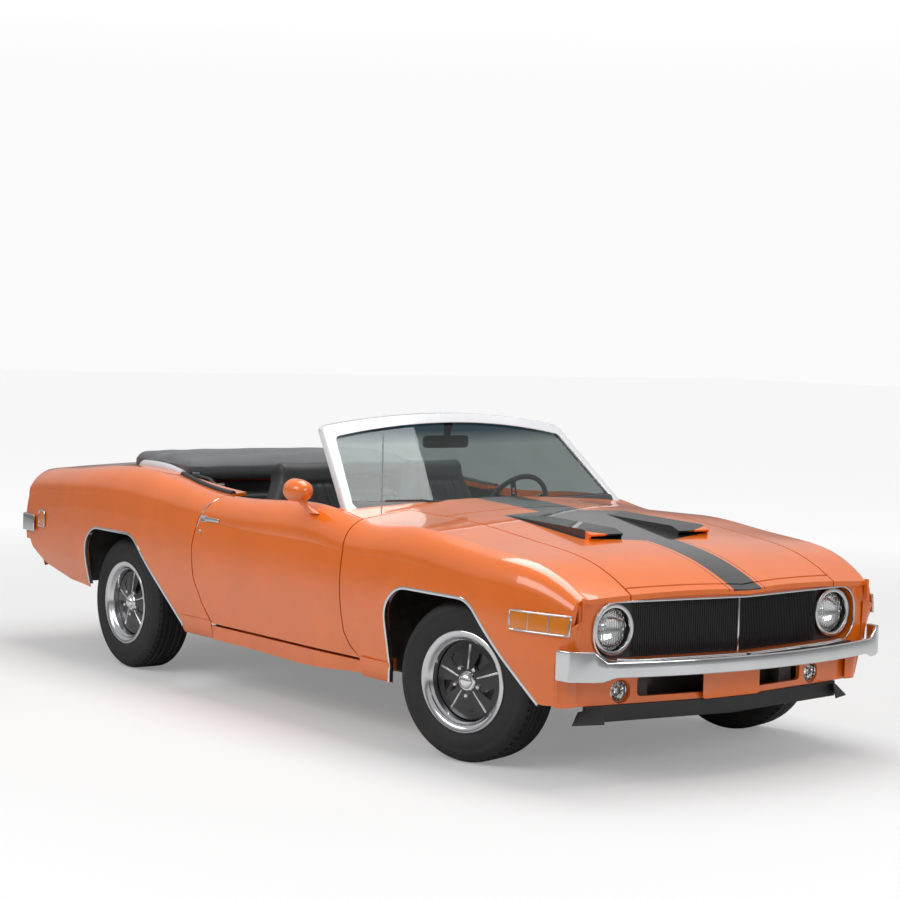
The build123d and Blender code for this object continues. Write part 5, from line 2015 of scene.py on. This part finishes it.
@dataclass
class EndDetails(Assembly):
    """Plate, valance parts, spoiler ends, tail lamp frames, exhaust tips, wipers and engine dress."""

    plate_x: float = 2.2022
    tail_x: float = -2.3565
    lamp_y: tuple[float, float] = (0.222, 0.718)
    lamp_z: tuple[float, float] = (0.737, 0.813)
    radiator: Point = (2.000, 0, 0.580)

    def build(self) -> None:
        """Builds the pieces of the car's two ends."""
        self._plate()
        self._baffle()
        self._tail()
        self._rear_valance()
        self._wipers()
        self._engine()
        for side in Side:
            self._flare(side)
            self._tip(side)

    def _baffle(self) -> None:
        """The dark duct behind the slot in the valance."""
        baffle = Bench.block("valance_duct", (0.060, 1.020, 0.125), (2.060, 0, 0.372))
        Bench.press(baffle, facing(x=1), (0.012, (-0.040, 0, 0)))
        self.keep(baffle, "satin_black_paint")

    def _plate(self) -> None:
        """The blank front plate with its rounded corners and two bolts."""
        plate = Bench.block("plate_blank", (0.003, 0.310, 0.128), (self.plate_x, 0, 0.370))
        with Bench.editing(plate, "EDGE"):
            Bench.pick_edges(lambda way: abs(way.x) > AGREES)
            bpy.ops.mesh.bevel(offset=0.012, segments=4, affect="EDGES")
        Bench.press(plate, facing(x=1), (0.006, (-0.0008, 0, 0)))
        self.keep(plate, "orange_enamel", 25)
        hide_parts("front_plate")
        bolts = []
        for y in (-0.089, 0.089):
            bolt = Bench.lathe("bolt", [(0.0, 0.004), (0.004, 0.0038), (0.006, 0.002), (0.0062, 0.0),
                                        (0.008, -0.0005), (0.008, -0.002)], 24)
            bolts.append(Bench.move(bolt, placed((self.plate_x + 0.0018, y, 0.422), -90)))
        self.keep(Bench.join(bolts, "plate_bolt_heads"), "bare_steel")

    def _flare(self, side: Side) -> None:
        """The spoiler's end that turns outwards.

        Args:
            side: Left or right.
        """
        def shape(u: float, v: float) -> Point:
            """From the blade's end to the pointed outer tip.

            Args:
                u: From 0 to 1 along the piece.
                v: From 0 to 1 across it.

            Returns:
                The point.
            """
            x = 2.172 - 0.055 * u - 0.020 * v
            y = 0.640 + 0.120 * u - 0.045 * u * v
            return (x, side.value * y, 0.240 - 0.003 * u + (0.066 - 0.020 * u) * v)

        flare = Bench.sheet(f"spoiler_end_{side.word}", 10, 6, shape)
        Bench.thicken(flare, 0.005)
        Bench.round_edges(flare, 0.0015, 2)
        self.keep(flare, "black_plastic")

    def _tail(self) -> None:
        """Frames and bars over the tail lamps."""
        frames, bars = [], []
        x, (inner, outer), (low, high) = self.tail_x, self.lamp_y, self.lamp_z
        for side in Side:
            a, b = side.value * inner, side.value * outer
            frames.append(Bench.sweep("frame", [(x, a, low), (x, b, low), (x, b, high), (x, a, high)], 0.009,
                                      closed=True))
            for index in range(1, 4):
                y = side.value * (inner + (outer - inner) * index / 4)
                bars.append(Bench.sweep("bar", [(x, y, low), (x, y, high)], 0.007))
            for index in range(1, 6):
                z = low + (high - low) * index / 6
                bars.append(Bench.sweep("bar", [(x + 0.0005, a, z), (x + 0.0005, b, z)], 0.003))
        self.keep(Bench.join(frames, "tail_lamp_frames"), "bright_chrome", 50)
        self.keep(Bench.join(bars, "tail_lamp_bars"), "satin_black_paint", 50)

    def _rear_valance(self) -> None:
        """The painted panel under the rear bumper, turned under at its foot."""
        def shape(u: float, v: float) -> Point:
            """From one quarter to the other, top to foot.

            Args:
                u: From 0 to 1 along the piece.
                v: From 0 to 1 across it.

            Returns:
                The point.
            """
            y = 0.872 * (2 * u - 1)
            corner = 0.120 * abs(2 * u - 1) ** 10
            return (-2.322 + 0.050 * v ** 2 + corner, y * (1 - 0.020 * v), 0.600 - 0.172 * v)

        panel = Bench.sheet("rear_valance", 48, 12, shape)
        Bench.thicken(panel, 0.003)
        self.keep(panel, "orange_enamel", 50)

    def _tip(self, side: Side) -> None:
        """A bright tip on the end of an exhaust pipe.

        Args:
            side: Left or right.
        """
        tip = Bench.lathe(f"exhaust_tip_{side.word}", [
            (0.026, 0.060), (0.031, 0.062), (0.0335, 0.050), (0.0335, -0.050), (0.036, -0.060), (0.032, -0.061),
            (0.029, -0.050), (0.026, 0.060)], 40)
        Bench.move(tip, placed((-2.185, side.value * 0.260, 0.205), -90))
        self.keep(tip, "bright_chrome")

    def _wipers(self) -> None:
        """Two wiper arms with their blades at the foot of the screen."""
        arms = []
        for y in (0.30, -0.22):
            arm = [(0.700, y, 0.958), (0.690, y - 0.06, 0.968), (0.668, y - 0.22, 0.982)]
            blade = [(0.676, y - 0.02, 0.972), (0.666, y - 0.22, 0.984), (0.650, y - 0.40, 0.985)]
            arms.append(Bench.drum("pivot", 0.012, 0.016, (0.700, y, 0.954), sides=20))
            arms.append(Bench.sweep("arm", arm, 0.007))
            arms.append(Bench.sweep("blade", blade, 0.009))
        self.keep(Bench.join(arms, "wipers"), "satin_black_paint", 40)

    def _engine(self) -> None:
        """Air cleaner, rocker covers, hoses and the radiator's core over the plain block."""
        cleaner = Bench.lathe("air_cleaner", [
            (0.0, 0.052), (0.012, 0.052), (0.016, 0.044), (0.140, 0.040), (0.168, 0.034), (0.172, 0.026),
            (0.165, 0.022), (0.163, -0.020), (0.170, -0.024), (0.166, -0.030), (0.060, -0.034), (0.050, -0.060),
            (0.0, -0.060)], 64)
        Bench.move(cleaner, placed((1.33, 0, 0.842), 90, "X"))
        self.keep(cleaner, "satin_black_paint")
        covers = []
        for side in Side:
            y = side.value * 0.215
            cover = Bench.block("cover", (0.56, 0.115, 0.070), (1.32, y, 0.800))
            Bench.press(cover, facing(z=1), (0.018, (0, 0, 0.012)))
            Bench.round_edges(cover, 0.010, 3)
            covers += [cover, Bench.drum("cap", 0.022, 0.020, (1.52, y, 0.852), sides=24)]
        self.keep(Bench.join(covers, "rocker_covers"), "bright_chrome")
        upper = [(1.74, 0.12, 0.74), (1.80, 0.13, 0.78), (1.90, 0.16, 0.77), (1.98, 0.18, 0.72)]
        lower = [(1.74, -0.12, 0.50), (1.82, -0.14, 0.47), (1.92, -0.17, 0.46), (1.98, -0.18, 0.48)]
        hoses = [Bench.sweep("hose", line, 0.042) for line in (upper, lower)]
        self.keep(Bench.join(hoses, "engine_hoses"), "black_plastic", 50)
        core = Bench.block("radiator", (0.050, 0.560, 0.360), self.radiator)
        with Bench.editing(core):
            Bench.pick(ends_of("x"))
            bpy.ops.mesh.inset(thickness=0.020)
            bpy.ops.transform.resize(value=(0.7, 1, 1), center_override=self.radiator)
        Bench.round_edges(core, 0.005, 2)
        self.keep(core, "satin_black_paint")


@dataclass
class Studio:
    """The floor, the lights and the camera."""

    azimuth: float = 53.031
    elevation: float = 3.107
    distance: float = 10.2657
    target: Point = (0.2875, 0.0, 1.1799)
    roll: float = 1.489
    lens: float = 87.723

    def build(self) -> None:
        """Builds all of it."""
        self._floor()
        self._lights()
        self._camera()

    def _camera(self) -> None:
        """Puts the camera at the photograph's viewing angle."""
        a, e = math.radians(self.azimuth), math.radians(self.elevation)
        back = Vector((math.sin(a) * math.cos(e), -math.cos(a) * math.cos(e), math.sin(e)))
        right = (-back).cross(Vector((0, 0, 1))).normalized()
        up = right.cross(-back)
        turn = math.radians(self.roll)
        across = right * math.cos(turn) + up * math.sin(turn)
        upright = up * math.cos(turn) - right * math.sin(turn)
        data = bpy.data.cameras.new("camera")
        data.lens = self.lens
        data.sensor_width = 36.0
        camera = bpy.data.objects.new("camera", data)
        bpy.context.scene.collection.objects.link(camera)
        place = Vector(self.target) + back * self.distance
        camera.matrix_world = Matrix((
            (across.x, upright.x, back.x, place.x), (across.y, upright.y, back.y, place.y),
            (across.z, upright.z, back.z, place.z), (0, 0, 0, 1)))
        bpy.context.scene.camera = camera

    def _floor(self) -> None:
        """A wide pale floor whose glow grows with the distance, for the camera only."""
        Bench.clear()
        bpy.ops.mesh.primitive_plane_add(size=120, location=(0, 0, 0))
        floor = Bench.start("studio_floor")
        material = bpy.data.materials.new("studio_floor")
        material.use_nodes = True
        shader = material.node_tree.nodes["Principled BSDF"]
        shader.inputs["Base Color"].default_value = (0.58, 0.58, 0.58, 1)
        shader.inputs["Roughness"].default_value = 0.9
        shader.inputs["Specular IOR Level"].default_value = 0.1
        shader.inputs["Emission Color"].default_value = (1, 1, 1, 1)
        graph = NodeGraph(material.node_tree, emptied=False)
        spot = graph.add("ShaderNodeTexCoord").outputs["Object"]
        reach = graph.add("ShaderNodeVectorMath", {0: spot}, operation="LENGTH").outputs["Value"]
        glow = graph.ramp(reach, (2.6, 9.0), (0.24, 0.64))
        seen = graph.add("ShaderNodeLightPath").outputs["Is Camera Ray"]
        graph.feed(graph.math("MULTIPLY", seen, glow), shader, "Emission Strength")
        floor.data.materials.append(material)

    def _lights(self) -> None:
        """A pale dome, whiter for the camera, and three large soft panels."""
        world = bpy.data.worlds.new("studio")
        bpy.context.scene.world = world
        world.use_nodes = True
        backdrop = world.node_tree.nodes["Background"]
        backdrop.inputs[0].default_value = (1.0, 1.0, 1.0, 1)
        graph = NodeGraph(world.node_tree, emptied=False)
        way = graph.add("ShaderNodeTexCoord").outputs["Generated"]
        height = graph.add("ShaderNodeSeparateXYZ", {0: way}).outputs["Z"]
        dome = graph.ramp(height, (0.10, 0.26), (0.20, 0.50), "SMOOTHSTEP")
        seen = graph.add("ShaderNodeLightPath").outputs["Is Camera Ray"]
        graph.feed(graph.math("MULTIPLY_ADD", seen, 0.76, dome), backdrop, "Strength")
        bpy.context.scene.view_settings.view_transform = "Standard"
        for name, place, aim, size, power in (
                ("key_panel", (0.5, -6.5, 5.0), (0.3, 0, 0.6), 6.0, 190.0),
                ("top_panel", (0.3, 0.6, 5.5), (0.3, 0, 0), 6.0, 240.0),
                ("nose_panel", (8.0, 1.0, 3.2), (1.8, 0, 0.6), 3.5, 90.0)):
            data = bpy.data.lights.new(name, "AREA")
            data.shape = "RECTANGLE"
            data.size = size
            data.size_y = size * 0.5
            data.energy = power
            light = bpy.data.objects.new(name, data)
            bpy.context.scene.collection.objects.link(light)
            light.location = place
            light.rotation_mode = "QUATERNION"
            light.rotation_quaternion = (Vector(aim) - Vector(place)).to_track_quat("-Z", "Y")


def main() -> None:
    """Builds the studio, the finishes and the car's pieces in order, and reports each."""
    logging.basicConfig(level=logging.INFO, format="%(name)s: %(message)s")
    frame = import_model()
    Bench.clear()
    SharedEffects().build()
    paints = Paints()
    Studio().build()
    CadDress(paints).build(frame["nodes"])
    skin = Skin(frame["nodes"])
    groups = (Wheel(paints), Nose(paints), BodyTrim(paints, skin=skin), DoorDress(paints, skin=skin),
              Cabin(paints, skin=skin), EndDetails(paints))
    for group in groups:
        group.build()
        LOG.info("%s done: %d pieces", type(group).__name__, len(group.made))


if __name__ == "__main__":
    main()
